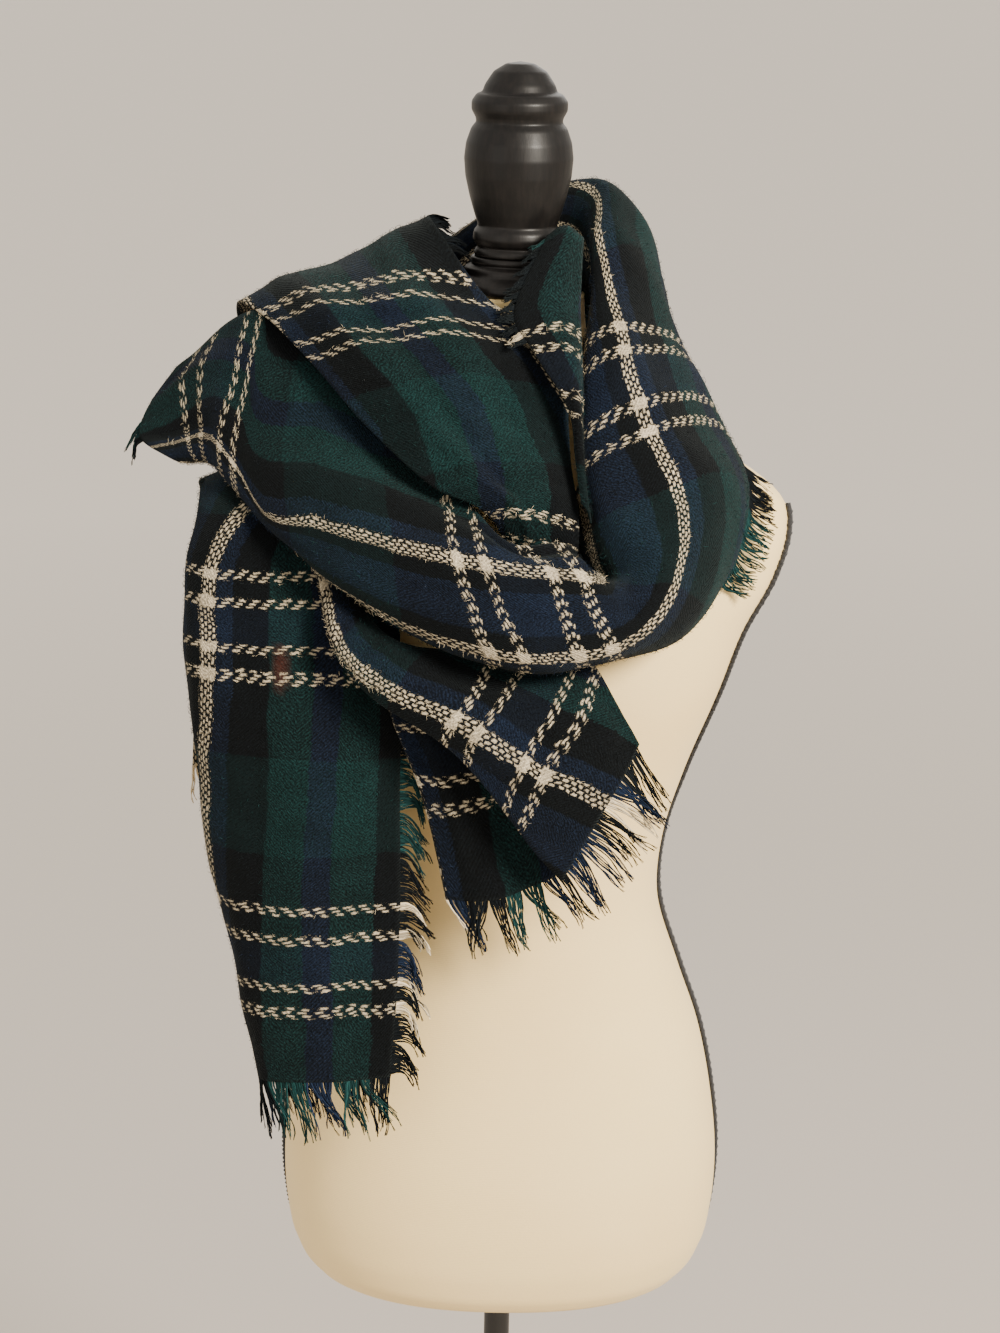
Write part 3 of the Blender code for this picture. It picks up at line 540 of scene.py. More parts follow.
def soft_waves(along, across_mm, amount, seed):
    """Slow uneven waves, so that no stretch of cloth is quite smooth."""
    waves = np.random.default_rng(seed)
    a, c = np.meshgrid(along, across_mm, indexing="ij")
    total = np.zeros_like(a)
    for _ in range(9):
        size = waves.uniform(38, 120)
        turn = waves.uniform(0, math.pi)
        phase = waves.uniform(0, 2 * math.pi)
        total += np.sin((a * math.cos(turn) + c * math.sin(turn)) * 2 * math.pi / size + phase)
    return total * amount * MM / 3


# %% Meshes with cloth places on their points
def add_mesh(name, verts, faces, places, material, smooth=True):
    mesh = bpy.data.meshes.new(name)
    mesh.from_pydata(verts, [], faces)
    for key, values in places.items():
        layer = mesh.attributes.new(key, "FLOAT", "POINT")
        layer.data.foreach_set("value", np.asarray(values, np.float32).ravel())
    if smooth:
        mesh.shade_smooth()
    mesh.materials.append(material)
    made = bpy.data.objects.new(name, mesh)
    bpy.context.scene.collection.objects.link(made)
    return made


def shell(name, points, normals, places, material):
    """A closed wall of cloth round a grid of points."""
    rows, columns = points.shape[:2]
    half = normals * WALL / 2
    verts = np.concatenate([(points + half).reshape(-1, 3), (points - half).reshape(-1, 3)])
    count = rows * columns
    index = np.arange(count).reshape(rows, columns)
    a, b = index[:-1, :-1].ravel(), index[:-1, 1:].ravel()
    c, d = index[1:, 1:].ravel(), index[1:, :-1].ravel()
    front = np.stack([a, d, c, b], axis=1)
    back = np.stack([a, b, c, d], axis=1) + count
    rim = np.concatenate([index[0, :], index[1:, -1], index[-1, -2::-1], index[-2:0:-1, 0]])
    after = np.roll(rim, -1)
    edge = np.stack([rim, after, after + count, rim + count], axis=1)
    faces = np.concatenate([front, back, edge]).tolist()
    doubled = {key: np.concatenate([v.ravel(), v.ravel()]) for key, v in places.items()}
    return add_mesh(name, verts.tolist(), faces, doubled, material)


# %% [markdown]
# ## The runs of cloth
#
# Each run settles onto what carries it by as much as its solid does, so the fine
# cloth lies where the solid does, but for its creases.

# %% Make the runs
tail = Cloth(TAIL_COLUMNS, TAIL_ROWS, (0, 0, -1.23))
ring = Cloth(RING_COLUMNS, RING_ROWS, (0, 0, -1.66))
pleat = Cloth(PLEAT_COLUMNS, PLEAT_ROWS, (0, 10.05, 0), -1.0)
flap = Cloth(FLAP_COLUMNS, FLAP_ROWS, (0, -0.33, 0), -1.0)
panel = Cloth(PANEL_COLUMNS, PANEL_ROWS, (0, 0, -2.99))
fold = Cloth(FOLD_COLUMNS, FOLD_ROWS, (0.87, 0.26, 0))

# Creases: from along, across, to along, across; half width, height; all mm
CREASE_DEPTH = 1.35
TAIL_CREASES = (
    (20, 40, 330, 62, 9, 1.6), (60, 70, 420, 96, 10, -1.8), (0, 22, 180, 18, 8, -1.4),
    (240, 20, 430, 60, 10, 1.8), (150, 118, 330, 122, 9, 1.5), (330, 30, 470, 20, 12, -2.0),
    (0, 96, 160, 84, 9, 1.3), (380, 120, 520, 140, 12, 2.0), (640, 60, 880, 40, 14, 3.0),
    (660, 120, 880, 130, 16, -3.0), (700, 170, 880, 190, 12, 2.5), (100, 190, 300, 200, 12, 1.5),
)
RING_CREASES = (
    (1035, 20, 1260, 24, 9, -2.2), (1060, 64, 1250, 52, 10, 2.0), (1040, 84, 1200, 78, 8, -1.6),
    (1080, 38, 1300, 45, 8, 1.6), (760, 66, 930, 84, 9, -1.8), (800, 104, 960, 118, 11, 2.2),
    (700, 86, 860, 100, 10, 1.8), (860, 44, 1000, 50, 9, -2.0), (1260, 18, 1430, 30, 9, 2.0),
    (1290, 60, 1420, 64, 9, -1.8), (560, 40, 700, 50, 10, 2.2), (580, 100, 720, 116, 14, -2.6),
    (600, 150, 740, 160, 14, 2.6), (1120, 8, 1260, 12, 7, 1.5), (970, 90, 1040, 104, 9, 1.8),
)
PANEL_CREASES = (
    (250, 96, 430, 84, 8, 1.8), (290, 60, 540, 62, 9, -2.0), (230, 28, 400, 36, 9, 1.8),
    (350, 112, 480, 96, 7, -1.6), (140, 40, 260, 60, 12, -2.2), (130, 90, 250, 110, 10, 2.0),
    (420, 40, 560, 50, 8, 1.6),
)
FLAP_CREASES = (
    (10, 20, 120, 30, 8, 1.6), (20, 74, 150, 60, 8, -1.6), (60, 50, 200, 44, 7, 1.4),
)
PLEAT_CREASES = (
    (0, 18, 140, 22, 7, 1.8), (0, 48, 150, 42, 8, -1.8),
)
FOLD_CREASES = ((760, 10, 960, 12, 5, 1.0),)


# Where a weft yarn lies when the cloth has crept: place along, place in the weft
TAIL_WEFT = ((0, 0), (51, 48), (71.5, 65.5), (107.5, 104.5), (130, 123), (296, 302),
             (315.5, 319.5), (343, 358.5), (362, 377), (430, 440), (880, 885))
PANEL_WEFT = ((120, 120), (200, 204), (290, 303), (380, 395), (480, 492), (575, 584))
EVEN_WEFT = ((0, 0), (1441, 1441))


# %% Build the fine cloth
def middle_stripe_place(along):
    """In the loop and on the shoulder the stripe has rolled under, out of sight."""
    return np.interp(along, (715, 800, 1012, 1040, 1245, 1290, 1330, 1441),
                     (145, 165, 162, 145, 145, 138, 122, 100))


def panel_middle_place(along):
    """The panel's right side slides under the loop, so its yarns go out of sight."""
    return np.interp(along, (120, 302, 377, 440, 500, 556, 575), (60, 67, 66, 72, 52, 27, 20))


def stain_strength(along, places, centre_along, centre_place, tall, wide):
    a = (along[:, None] - centre_along) / tall
    b = (places - centre_place) / wide
    return np.clip(1.35 - np.sqrt(a * a + b * b), 0, 1) ** 0.7


def make_cloth(name, cloth, anchors, sign, creases, waves, seed, weft_marks, stain=None):
    rows = round((cloth.along[-1] - cloth.along[0]) * MM / GRID) + 1
    columns = round(cloth.width / GRID) + 1
    along = np.linspace(cloth.along[0], cloth.along[-1], rows)
    across = np.linspace(0, 1, columns)
    across_mm = across * cloth.width / MM
    points = cloth.at(along, across)
    marks = [(cloth.column(key), place(along) if callable(place) else place)
             for key, place in anchors]
    places = warp_places(points, across, marks, sign)
    normals = grid_normals(points) * cloth.facing
    lift = crease_heights(along, across_mm, creases) * CREASE_DEPTH
    lift = lift + soft_waves(along, across_mm, waves, seed)
    points = points + normals * lift[..., None]
    normals = grid_normals(points)
    spots = np.zeros_like(places)
    wefts = np.interp(along, *np.transpose(weft_marks))
    if stain:
        spots = stain_strength(wefts, places, *stain)
    weft = np.repeat(wefts[:, None], columns, axis=1)
    made = shell(name, points, normals, {
        "warp_mm": places, "weft_mm": weft, "weave": np.full_like(places, 0.5),
        "stain": spots}, plaid)
    print(name, rows, "x", columns, "points, woven", round(places.min()), "to", round(places.max()))
    return made, {"along": along, "across": across, "points": points,
                  "normals": normals, "warp": places, "weft": wefts, "facing": cloth.facing}


runs = {}
pieces = {}
RUNS = (
    # name, cloth, anchors (column, warp place), sign, creases, waves, weft
    ("tail_cloth", tail, (("free edge", 0), ("green", 50), ("black", 100), ("stripe", 145),
                          ("turn", 175), ("inside", 225)), 1, TAIL_CREASES, 0.9, TAIL_WEFT),
    ("ring_cloth", ring, (("middle stripe", middle_stripe_place), ("rim stripe", 226)), 1,
     RING_CREASES, 0.8, EVEN_WEFT),
    ("panel_cloth", panel, (("middle", panel_middle_place),), -1, PANEL_CREASES, 0.8,
     PANEL_WEFT),
    ("fold_cloth", fold, (("frayed edge", 0),), 1, FOLD_CREASES, 0.3, EVEN_WEFT),
    ("flap_cloth", flap, (("stripe", 226),), 1, FLAP_CREASES, 0.7, EVEN_WEFT),
    ("pleat_cloth", pleat, (("left", 141),), -1, PLEAT_CREASES, 0.6, EVEN_WEFT),
)
STAIN = (309, 91, 14, 5)       # weft place, warp place, height and width in mm
for seed, (name, cloth, anchors, sign, creases, waves, weft_marks) in enumerate(RUNS):
    mark = STAIN if name == "tail_cloth" else None
    pieces[name], runs[name] = make_cloth(name, cloth, anchors, sign, creases, waves, seed,
                                          weft_marks, mark)

# %% [markdown]
# ## Fringes
#
# The weft is pulled out along the edges, and the warp yarns that are left hang
# free. Each yarn is a thin tube. It leaves in the cloth's own direction, bends
# to where its weight pulls it, and shares its tip with a few neighbours.

# %% Loose yarns
YARN_RADIUS = 0.00062
YARN_SPACING = 1.05     # mm between yarns along an edge
YARN_STEPS = 9          # points along each yarn
TORSO_GAP = 0.0018      # how far yarns keep off the torso
TUCK = 0.0015           # how deep a yarn starts inside the cloth
RIPPLE = 0.0013         # how far a yarn waves from side to side
PLY_OFFSET = 0.00035    # from the middle of a yarn to the middle of each ply
CLUMP = (4, 11)         # yarns that share a tip: at least, and fewer than
PULL = 0.26             # share of the way that a clump's tips draw together
torso_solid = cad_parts["torso"]
torso_tree = BVHTree.FromPolygons([v.co.copy() for v in torso_solid.data.vertices],
                                  [tuple(p.vertices) for p in torso_solid.data.polygons])


def clear_of_torso(path):
    """Push a yarn's points out of the torso."""
    for i, point in enumerate(path):
        near, normal, _, _ = torso_tree.find_nearest(Vector(point))
        if normal is not None and (Vector(point) - near).dot(normal) < TORSO_GAP:
            path[i] = near + normal * TORSO_GAP


def tubes(name, paths, radii, places, material):
    """One mesh of three-sided tubes. Paths are yarns by steps by xyz."""
    count, steps = paths.shape[:2]
    tangent = np.gradient(paths, axis=1)
    tangent /= np.maximum(np.linalg.norm(tangent, axis=2, keepdims=True), 1e-12)
    side = np.cross(tangent, np.array([0.31, 0.87, 0.38]))
    side /= np.maximum(np.linalg.norm(side, axis=2, keepdims=True), 1e-12)
    up = np.cross(tangent, side)
    corners = []
    for k in range(3):
        angle = 2 * math.pi * k / 3
        corners.append(paths + (side * math.cos(angle) + up * math.sin(angle)) * radii[..., None])
    verts = np.stack(corners, axis=2).reshape(-1, 3)
    index = np.arange(count * steps * 3).reshape(count, steps, 3)
    faces = []
    for k in range(3):
        m = (k + 1) % 3
        faces.append(np.stack([index[:, :-1, k], index[:, :-1, m],
                               index[:, 1:, m], index[:, 1:, k]], axis=-1).reshape(-1, 4))
    spread = {key: np.repeat(v, steps * 3) for key, v in places.items()}
    return add_mesh(name, verts.tolist(), np.concatenate(faces).tolist(), spread, material)


def fringe(name, run, edge, reach, lean, fall, span):
    """Loose yarns along one edge of a run. Lean is where they end up pointing, and
    fall is how soon, from 0 (late) to 1 (at once). Span is the part of the edge: mm
    along the scarf on a side edge, and shares of the width on an end."""
    grid = runs[run]
    points, warp, along = grid["points"], grid["warp"], grid["along"]
    wefts = grid["weft"]
    if edge == "first row":
        line, inner, place, weft, weave = points[0], points[4], warp[0], wefts[0], 1.0
    elif edge == "last row":
        line, inner, place, weft, weave = points[-1], points[-5], warp[-1], wefts[-1], 1.0
    elif edge == "first column":
        line, inner, place, weft, weave = points[:, 0], points[:, 4], wefts, warp[0, 0], 0.0
    else:
        line, inner, place, weft, weave = points[:, -1], points[:, -5], wefts, warp[0, -1], 0.0
    walked = np.concatenate([[0], np.cumsum(np.linalg.norm(np.diff(line, axis=0), axis=1))])
    if weave == 0.0:
        low, high = np.interp(span, along, walked)
    else:
        low, high = walked[-1] * span[0], walked[-1] * span[1]
    count = max(4, round((high - low) / (YARN_SPACING * MM)))
    at = np.sort(np.linspace(low, high, count) + rng.normal(0, 0.25 * YARN_SPACING * MM, count))
    read = lambda values: np.stack([np.interp(at, walked, values[:, k]) for k in range(3)], 1)
    root, back = read(line), read(inner)
    outward = root - back
    outward /= np.linalg.norm(outward, axis=1, keepdims=True)
    colour_place = np.interp(at, walked, place)
    root = root - outward * TUCK
    sideways = np.gradient(root, axis=0)
    sideways /= np.maximum(np.linalg.norm(sideways, axis=1, keepdims=True), 1e-9)
    lean = np.array(lean, float) / np.linalg.norm(lean)
    steps = YARN_STEPS
    progress = np.linspace(0, 1, steps)[None]
    length = reach * MM * rng.uniform(0.62, 1.06, count)
    members = []
    while sum(members) < count:
        members.append(int(rng.integers(*CLUMP)))
    group = np.repeat(np.arange(len(members)), members)[:count]
    group_lean = rng.normal(0, 0.16, (len(members), 3))[group]
    group_bend = rng.normal(0, 0.28, len(members))[group]
    own = rng.normal(0, 0.05, (count, 3))
    paths = np.empty((count, steps, 3))
    paths[:, 0] = root
    for k in range(1, steps):
        s = k / (steps - 1)
        weight = np.clip(fall + (1 - fall) * s * 1.3, 0, 1) * min(1.0, s * 2.2)
        heading = outward * (1 - weight) + lean * weight + (group_lean + own) * s
        heading += sideways * (group_bend * math.sin(s * math.pi))[:, None]
        heading /= np.linalg.norm(heading, axis=1, keepdims=True)
        paths[:, k] = paths[:, k - 1] + heading * (length / (steps - 1))[:, None]
    # Draw each group of yarns together towards its tips
    for g in range(group.max() + 1):
        mine = group == g
        centre = paths[mine].mean(axis=0)
        paths[mine] += (centre - paths[mine]) * (PULL * progress[..., None]**0.9)
    ripple = np.sin(progress * rng.uniform(5, 11, (count, 1))
                    + rng.uniform(0, 6.28, (count, 1)))
    paths += sideways[:, None] * (ripple * RIPPLE * progress)[..., None]
    for i in range(count):
        clear_of_torso(paths[i])
    # Two plies of each yarn, twisted a little
    twist = progress * rng.uniform(8, 14, (count, 1)) + rng.uniform(0, 6.28, (count, 1))
    offset = np.stack([np.cos(twist), np.sin(twist), np.sin(twist * 0.7)], axis=2)
    plies = np.concatenate([paths + offset * PLY_OFFSET, paths - offset * PLY_OFFSET])
    radii = np.repeat((np.linspace(1, 0.45, steps)[None] * YARN_RADIUS), len(plies), axis=0)
    radii = radii * rng.uniform(0.7, 1.15, (len(plies), 1))
    colour_place = np.tile(colour_place, 2)
    weft_place = np.full(len(plies), weft)
    places = {"warp_mm": colour_place if weave else weft_place,
              "weft_mm": weft_place if weave else colour_place,
              "weave": np.full(len(plies), weave)}
    made = tubes(name, plies, radii, places, plaid)
    print(name, count, "yarns")
    return made


# %% Hang every fringe
FRINGES = (
    # name, run, edge, reach, lean, fall, part of the edge, CAD node
    ("tail_end_yarns", "tail_cloth", "first row", 50, (0.32, -0.05, -1), 0.35, (0, 1),
     "tail_end_fringe"),
    ("tail_side_yarns", "tail_cloth", "first column", 33, (0.55, -0.1, -1), 0.25, (3, 292),
     "tail_side_fringe"),
    ("back_end_yarns", "tail_cloth", "last row", 40, (0.05, 0.05, -1), 0.4, (0, 1),
     "back_end_fringe"),
    ("flap_yarns", "flap_cloth", "first row", 48, (0.75, -0.1, -0.8), 0.3, (0, 0.97),
     "flap_fringe"),
    ("pleat_yarns", "pleat_cloth", "first row", 46, (0.45, -0.1, -1), 0.4, (0, 1),
     "pleat_fringe"),
    ("drop_yarns", "ring_cloth", "last row", 25, (-0.15, -0.1, -1), 0.75, (0.03, 0.5),
     "drop_fringe"),
    ("panel_yarns", "panel_cloth", "last column", 18, (0.8, -0.2, -0.5), 0.3, (228, 278),
     "panel_fringe"),
    ("fold_yarns", "fold_cloth", "first column", 16, (-1, -0.25, -0.4), 0.4, (752, 820),
     "fold_fringe"),
    ("shoulder_yarns", "ring_cloth", "last column", 30, (1, 0.1, -0.55), 0.5, (888, 992),
     "shoulder_fringe"),
)
for name, run, edge, reach, lean, fall, span, node in FRINGES:
    pieces[name] = fringe(name, run, edge, reach, lean, fall, span)
    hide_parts(node)

# %% [markdown]
# ## Nap
#
# Brushing also leaves loose fibres standing on the face. Hundreds or thousands
# of short ones on each run soften its outline, in the colours of its yarns.

# %% Raise the nap
NAP_RADIUS = 0.00013
NAP_LENGTH = (0.0015, 0.0042)     # shortest and longest


def nap(name, run, count):
    """Short curved fibres standing on the outer face of a run."""
    grid = runs[run]
    points, normals = grid["points"], grid["normals"]
    rows, columns = points.shape[:2]
    i = rng.integers(1, rows - 1, count)
    j = rng.integers(1, columns - 1, count)
    outward = normals[i, j] * grid["facing"]
    side = points[i, j + 1] - points[i, j - 1]
    side /= np.linalg.norm(side, axis=1, keepdims=True)
    down = np.cross(outward, side)
    turn = rng.uniform(0, 2 * math.pi, count)[:, None]
    flat = side * np.cos(turn) + down * np.sin(turn)
    root = points[i, j] + outward * WALL / 2 + side * rng.uniform(-GRID, GRID, (count, 1)) / 2
    length = rng.uniform(*NAP_LENGTH, (count, 1))
    middle = root + (outward * 0.75 + flat * 0.6) * length * 0.5
    tip = middle + (outward * rng.uniform(-0.1, 0.5, (count, 1)) + flat) * length * 0.5
    paths = np.stack([root, middle, tip], axis=1)
    radii = np.tile([1.0, 0.8, 0.3], (count, 1)) * NAP_RADIUS
    weave = (rng.random(count) < 0.6).astype(float)
    places = {"warp_mm": grid["warp"][i, j], "weft_mm": grid["weft"][i], "weave": weave}
    return tubes(name, paths, radii, places, plaid)


for run, count in (("tail_cloth", 9000), ("ring_cloth", 10000), ("panel_cloth", 5000),
                   ("flap_cloth", 2500), ("pleat_cloth", 1200), ("fold_cloth", 800)):
    name = run.replace("cloth", "nap")
    pieces[name] = nap(name, run, count)
    print(name, count, "fibres")

# %% [markdown]
# ## The cloth's cut
#
# Each run is listed with the sheet it was before it was wound, and the solids that it stands for are
# hidden.

SHEETS = (
    # piece, nodes it stands for, flat width and length of what shows, rests on, fringes
    ("tail_cloth", ("front_tail", "shoulder_layer", "back_tail"), (0.21, 0.88), ["torso"],
     ["tail_end_yarns", "tail_side_yarns", "back_end_yarns"]),
    ("ring_cloth", ("nape_wrap", "neck_loop", "cowl_swag", "shoulder_drop"), (0.19, 0.88),
     ["torso", "tail_cloth"], ["drop_yarns", "shoulder_yarns"]),
    ("panel_cloth", ("upper_panel",), (0.13, 0.455), ["ring_cloth"], ["panel_yarns"]),
    ("fold_cloth", ("inner_fold",), (0.03, 0.22), ["ring_cloth"], ["fold_yarns"]),
    ("flap_cloth", ("tail_flap",), (0.06, 0.34), ["tail_cloth"], ["flap_yarns"]),
    ("pleat_cloth", ("tail_pleat",), (0.06, 0.175), ["tail_cloth"], ["pleat_yarns"]),
)
for name, nodes, flat, rests_on, yarns in SHEETS:
    piece = pieces[name]
    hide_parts(*nodes)

# %% [markdown]
# ## The dress form
#
# The torso is a padded shell under a tight ivory jersey. The finer mesh follows
# the same level sections as the solid.

# %% Torso
TORSO_SECTIONS = (
    # height, half width, front, back, in mm
    (690, 118, 82, 84), (694, 136, 100, 102), (703, 149, 112, 114), (720, 159, 120, 122),
    (750, 165.5, 125, 127), (785, 167.5, 125, 128), (840, 162, 119, 124),
    (895, 150, 109, 114), (940, 134, 100, 101), (1000, 116, 92, 87), (1050, 119, 96, 86),
    (1100, 133, 108, 92), (1170, 160, 124, 103), (1215, 177, 122, 106),
    (1255, 199, 106, 103), (1285, 205, 90, 96), (1308, 198, 77, 86), (1328, 174, 67, 76),
    (1346, 141, 60, 68), (1364, 108, 55, 62), (1382, 80, 51, 57), (1400, 63, 49, 53),
    (1422, 53, 48, 50), (1455, 49, 47, 47),
)
ROUNDNESS = 2.25    # power of the level sections: 2 is an ellipse


def torso_radius(heights, angles):
    table = np.array(TORSO_SECTIONS, float)
    sizes = spline(table[:, 0], table[:, 1:], heights)
    half, front, back = (sizes[:, k][:, None] for k in range(3))
    depth = np.where(np.sin(angles)[None] > 0, back, front)
    reach = (np.abs(np.cos(angles))[None] / half) ** ROUNDNESS
    reach = reach + (np.abs(np.sin(angles))[None] / depth) ** ROUNDNESS
    return reach ** (-1 / ROUNDNESS) * MM


def jersey_material():
    made, tree, shader = new_material("ivory jersey")
    place = object_place(tree)
    knit = add_node(tree, "ShaderNodeTexWave", {"bands_direction": "Z"},
                    {"Vector": place, "Scale": 230.0, "Distortion": 1.5, "Detail": 1.0,
                     "Detail Scale": 3.0}).outputs[1]
    fine = noise(tree, place, 420.0)
    tone = remap(tree, noise(tree, place, 5.0, 4.0), 0.3, 0.75)
    colour = mix_colour(tree, tone, paint("#f5da9f"), paint("#edcf91"))
    colour = mix_colour(tree, times(tree, fine, 0.14), colour, paint("#c9b78f"))
    height = plus(tree, times(tree, knit, 0.4), fine)
    finish_shader(tree, shader, colour, {
        "Roughness": 0.88, "Sheen Weight": 0.12, "Specular IOR Level": 0.25},
        (height, 0.25, 0.0004))
    return made


def make_torso():
    low, high = TORSO_SECTIONS[0][0], TORSO_SECTIONS[-1][0]
    near_foot = [low + 34 * (k / 12) ** 2 for k in range(12)]
    heights = np.array(near_foot + list(np.arange(low + 36, high, 6.0)) + [high])
    angles = np.linspace(0, 2 * math.pi, 160, endpoint=False)
    radius = torso_radius(heights, angles)
    verts = np.stack([radius * np.cos(angles), radius * np.sin(angles),
                      np.repeat(heights[:, None] * MM, len(angles), axis=1)], axis=2)
    rows, columns = radius.shape
    index = np.arange(rows * columns).reshape(rows, columns)
    after = np.roll(index, -1, axis=1)
    faces = np.stack([index[:-1], after[:-1], after[1:], index[1:]], axis=-1).reshape(-1, 4).tolist()
    faces.append(index[0, ::-1].tolist())
    faces.append(index[-1].tolist())
    return add_mesh("torso_cover", verts.reshape(-1, 3).tolist(), faces, {}, jersey_material())


torso_cover = make_torso()
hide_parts("torso")
pieces["torso_cover"] = torso_cover
print("torso faces", len(torso_cover.data.polygons))

# %% [markdown]
# ## Wood, braid and enamel
#
# The finial and cap are turned wood under black stain, with the grain just
# showing under a satin lacquer. They are turned again here in finer steps.

# %% Turned wood
FINIAL_PROFILE = (
    (0, 1619), (10, 1617.5), (19, 1612), (25, 1603), (27, 1597.5),
    (31, 1596), (34.5, 1591), (34.5, 1585), (31.5, 1579.5), (31, 1576.5),
    (34.5, 1572), (38, 1562), (39.3, 1551), (38.2, 1538), (35, 1524),
    (31.2, 1511), (28.5, 1503), (31.5, 1499), (32.2, 1494), (30.5, 1490),
    (28.5, 1488), (31, 1485), (31, 1481.3), (0, 1481.3),
)
NECK_CAP_PROFILE = (
    (0, 1481), (33, 1481), (34, 1478), (32.5, 1475.5), (38, 1473),
    (38.5, 1469), (43, 1466.5), (48, 1463), (49, 1458.5), (47, 1455.3), (0, 1455.3),
)


def wood_material():
    made, tree, shader = new_material("black stained wood")
    stretched = add_node(tree, "ShaderNodeMapping", inputs={
        "Vector": object_place(tree), "Scale": (1.0, 1.0, 0.10)}).outputs[0]
    grain = noise(tree, stretched, 260.0, 4.0, 0.65)
    colour = mix_colour(tree, remap(tree, grain, 0.42, 0.72), paint("#070606"), paint("#120f0e"))
    finish_shader(tree, shader, colour, {
        "Roughness": 0.45, "IOR": 1.4, "Specular IOR Level": 0.35, "Coat Weight": 0.05,
        "Coat Roughness": 0.2}, (grain, 0.35, 0.0004))
    return made


CORNER = 1.6        # mm, the most that a corner of a profile is cut back
CORNER_STEPS = 5
SEGMENTS = 96       # round a turned piece


def rounded_profile(profile):
    """The profile with softened corners: each corner is cut to a short curve."""
    points = [np.array(p, float) for p in profile]
    smooth = [points[0]]
    for before, here, after in zip(points, points[1:], points[2:]):
        cut = min(CORNER, np.linalg.norm(here - before) * 0.42, np.linalg.norm(after - here) * 0.42)
        a = here + (before - here) / np.linalg.norm(before - here) * cut
        b = here + (after - here) / np.linalg.norm(after - here) * cut
        for k in range(CORNER_STEPS):
            t = k / (CORNER_STEPS - 1)
            smooth.append(a * (1 - t) ** 2 + here * 2 * t * (1 - t) + b * t ** 2)
    smooth.append(points[-1])
    return smooth


def turned(name, profile, material):
    rings = [p for p in rounded_profile(profile) if p[0] > 0]
    angles = np.linspace(0, 2 * math.pi, SEGMENTS, endpoint=False)
    verts = [(r * MM * math.cos(a), r * MM * math.sin(a), h * MM) for r, h in rings for a in angles]
    verts += [(0, 0, profile[0][1] * MM), (0, 0, profile[-1][1] * MM)]
    top, foot = len(verts) - 2, len(verts) - 1
    faces = []
    for k in range(SEGMENTS):
        m = (k + 1) % SEGMENTS
        faces.append((top, k, m))
        last = (len(rings) - 1) * SEGMENTS
        faces.append((foot, last + m, last + k))
        for i in range(len(rings) - 1):
            a, b = i * SEGMENTS, (i + 1) * SEGMENTS
            faces.append((a + k, b + k, b + m, a + m))
    return add_mesh(name, verts, faces, {}, material)


wood = wood_material()
for name, profile, node in (("finial_turned", FINIAL_PROFILE, "finial"),
                            ("neck_cap_turned", NECK_CAP_PROFILE, "neck_cap")):
    pieces[name] = turned(name, profile, wood)
    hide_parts(node)


# %% Braid on the side seams and round the front of the armholes
BRAID_PATH = (
    # height in mm, degrees round from the side line: minus is towards the front
    (714, 3.5), (750, 3.5), (785, 3.5), (840, 3.5), (895, 3.5), (940, 3.5), (1000, 3.0),
    (1050, 0.0), (1100, -6.0), (1135, -9.5), (1170, -12.0), (1215, -12.5), (1255, -10.0),
    (1285, -6.0), (1304, -2.0),
)


BRAID_ENDS = (716, 1303)    # heights in mm
BRAID_STEPS = 260
BRAID_LAY = 7.0             # mm of height for one turn of the two ropes
BRAID_OUT = 0.0016          # from the jersey to the middle of the braid
BRAID_SWING = 0.0023        # how far each rope goes from side to side
BRAID_SWELL = 0.0008        # and how far in and out
ROPE_RADIUS = 0.0022


def braid_paths(side):
    heights = np.linspace(*BRAID_ENDS, BRAID_STEPS)
    path = np.array(BRAID_PATH, float)
    turns = np.radians(spline(path[:, 0], path[:, 1], heights))
    angle = turns if side > 0 else math.pi - turns
    body = np.array([torso_radius(heights[i:i + 1], angle[i:i + 1])[0, 0]
                     for i in range(BRAID_STEPS)]) + BRAID_OUT
    lines = []
    for offset in (0.0, 1.0):
        turn = heights * 2 * math.pi / BRAID_LAY + offset * math.pi
        swing = np.sin(turn) * BRAID_SWING
        out = body + np.cos(turn) * BRAID_SWELL
        x = out * np.cos(angle) - swing * np.sin(angle)
        y = out * np.sin(angle) + swing * np.cos(angle)
        lines.append(np.stack([x, y, heights * MM], axis=1))
    return np.stack(lines)


def braid_material():
    made, tree, shader = new_material("black braid")
    colour = mix_colour(tree, noise(tree, object_place(tree), 900.0), paint("#0b0b0c"),
                        paint("#1f1f22"))
    finish_shader(tree, shader, colour, {"Roughness": 0.75, "Sheen Weight": 0.15})
    return made


braid = braid_material()
for name, side, node in (("braid_left_rope", -1, "braid_left"),
                         ("braid_right_rope", 1, "braid_right")):
    paths = braid_paths(side)
    pieces[name] = tubes(name, paths, np.full(paths.shape[:2], ROPE_RADIUS), {}, braid)
    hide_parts(node)


# %% Enamel on the pole, flange, collar and base
def enamel_material():
    made, tree, shader = new_material("black enamel")
    place = object_place(tree)
    wear = noise(tree, place, 12.0, 5.0)
    colour = mix_colour(tree, wear, paint("#0c0c0d"), paint("#191919"))
    finish_shader(tree, shader, colour, {"Roughness": 0.38, "IOR": 1.5},
                  (noise(tree, place, 350.0), 0.08, 0.0003))
    return made


enamel = enamel_material()
for node in ("base", "collar", "pole", "flange"):
    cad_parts[node].data.materials[0] = enamel

# %% Everything rides on the one body
for piece in pieces.values():
    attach(piece, "root")
print("pieces", len(pieces))

# %% [markdown]
# ## Floor, light and camera

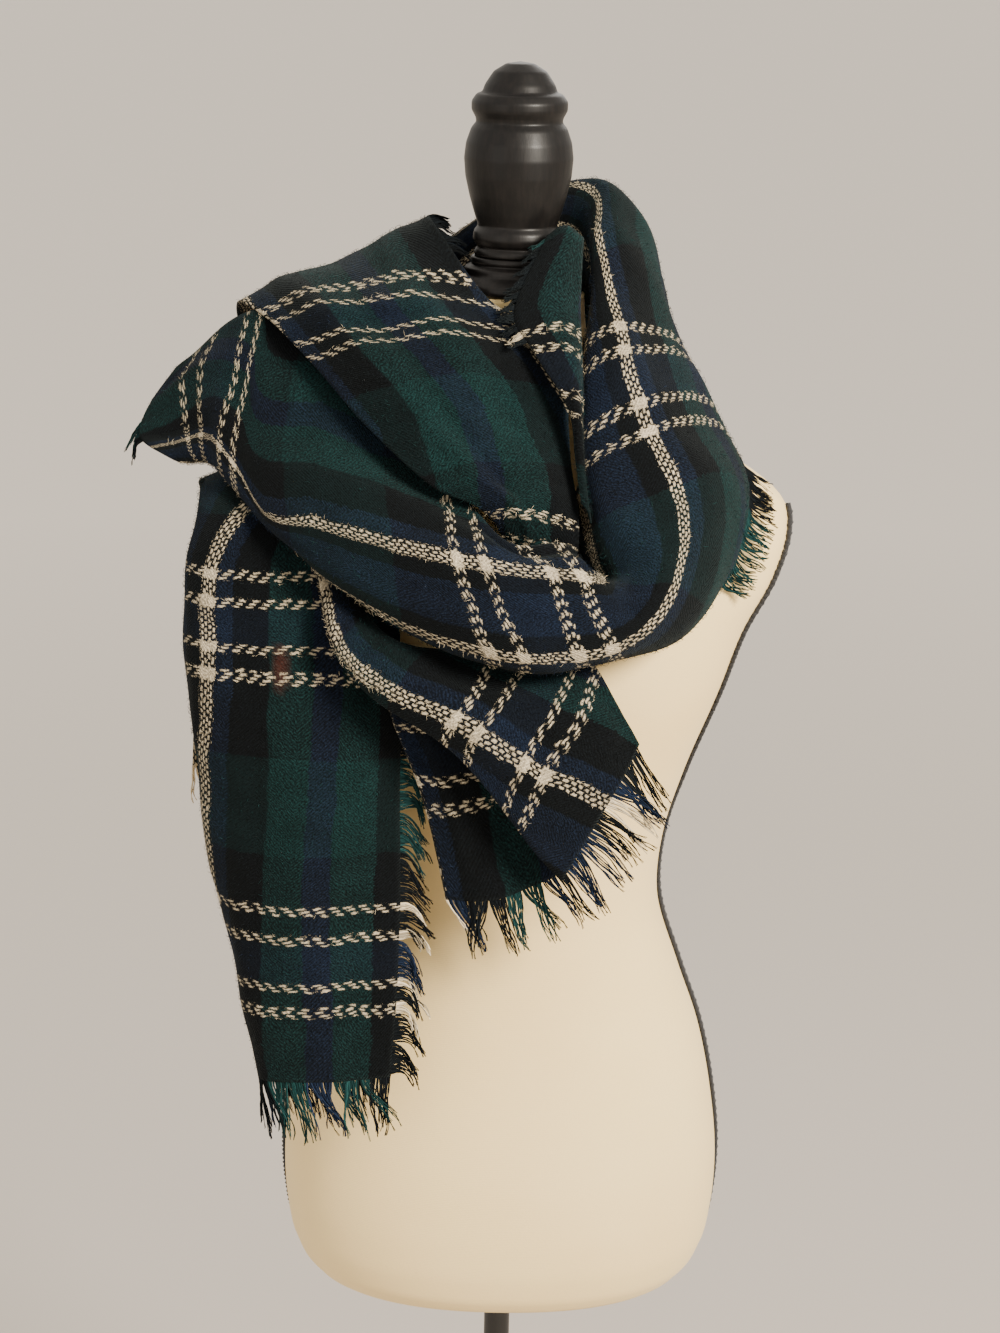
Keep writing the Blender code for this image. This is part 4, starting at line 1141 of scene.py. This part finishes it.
# %% Floor
def floor_material():
    made, tree, shader = new_material("pale floor")
    # A little darker round the foot of the form, as painted shade: darkest within 1 m, even from 6 m
    away = add_node(tree, "ShaderNodeVectorMath", {"operation": "LENGTH"},
                    {0: object_place(tree)}).outputs["Value"]
    colour = mix_colour(tree, remap(tree, away, 1.0, 6.0), paint("#c6bdb3"), paint("#f3ebe0"))
    finish_shader(tree, shader, colour, {"Roughness": 0.9})
    return made


side = 240.0        # half the floor's width, in metres
floor = add_mesh("floor", [(-side, -side, 0), (side, -side, 0), (side, side, 0), (-side, side, 0)],
                 [(0, 1, 2, 3)], {}, floor_material(), smooth=False)


# %% Light
def area_light(name, place, target, size, power, colour):
    lamp = bpy.data.lights.new(name, "AREA")
    lamp.shape = "DISK"
    lamp.size = size
    lamp.energy = power
    lamp.color = colour
    made = bpy.data.objects.new(name, lamp)
    made.location = place
    aim = Vector(target) - Vector(place)
    made.rotation_euler = aim.to_track_quat("-Z", "Y").to_euler()
    bpy.context.scene.collection.objects.link(made)


LIGHTS = (
    # name, place, target, size in metres, watts, colour
    ("key", (1.5, -1.9, 2.5), (0, 0, 1.2), 0.9, 185, (1.0, 0.92, 0.80)),
    ("fill", (-1.8, -1.9, 1.7), (0, 0, 1.2), 1.6, 8, (1.0, 0.96, 0.9)),
    ("back", (0.4, 1.8, 2.4), (0, 0, 1.3), 1.4, 12, (1.0, 0.97, 0.93)),
)
for light in LIGHTS:
    area_light(*light)
world = bpy.data.worlds.new("studio")
world.use_nodes = True
sky = world.node_tree.nodes["Background"]
sky.inputs["Color"].default_value = paint("#dcd5cb")
sky.inputs["Strength"].default_value = 1.5
bpy.context.scene.world = world

# %% Camera
EYE = (-0.0068, -2.17, 1.755)      # metres
TILT, ROLL = 75, 1.05              # degrees: up from straight down, and round the view
camera = bpy.data.cameras.new("camera")
camera.lens = 81.02
camera.sensor_width = 36
camera.clip_end = 600       # beyond the corners of the floor
eye = bpy.data.objects.new("camera", camera)
eye.matrix_world = (Matrix.Translation(EYE) @ Matrix.Rotation(math.radians(TILT), 4, "X")
                    @ Matrix.Rotation(math.radians(ROLL), 4, "Z"))
bpy.context.scene.collection.objects.link(eye)
bpy.context.scene.camera = eye

# %% Finish
bpy.context.view_layer.update()
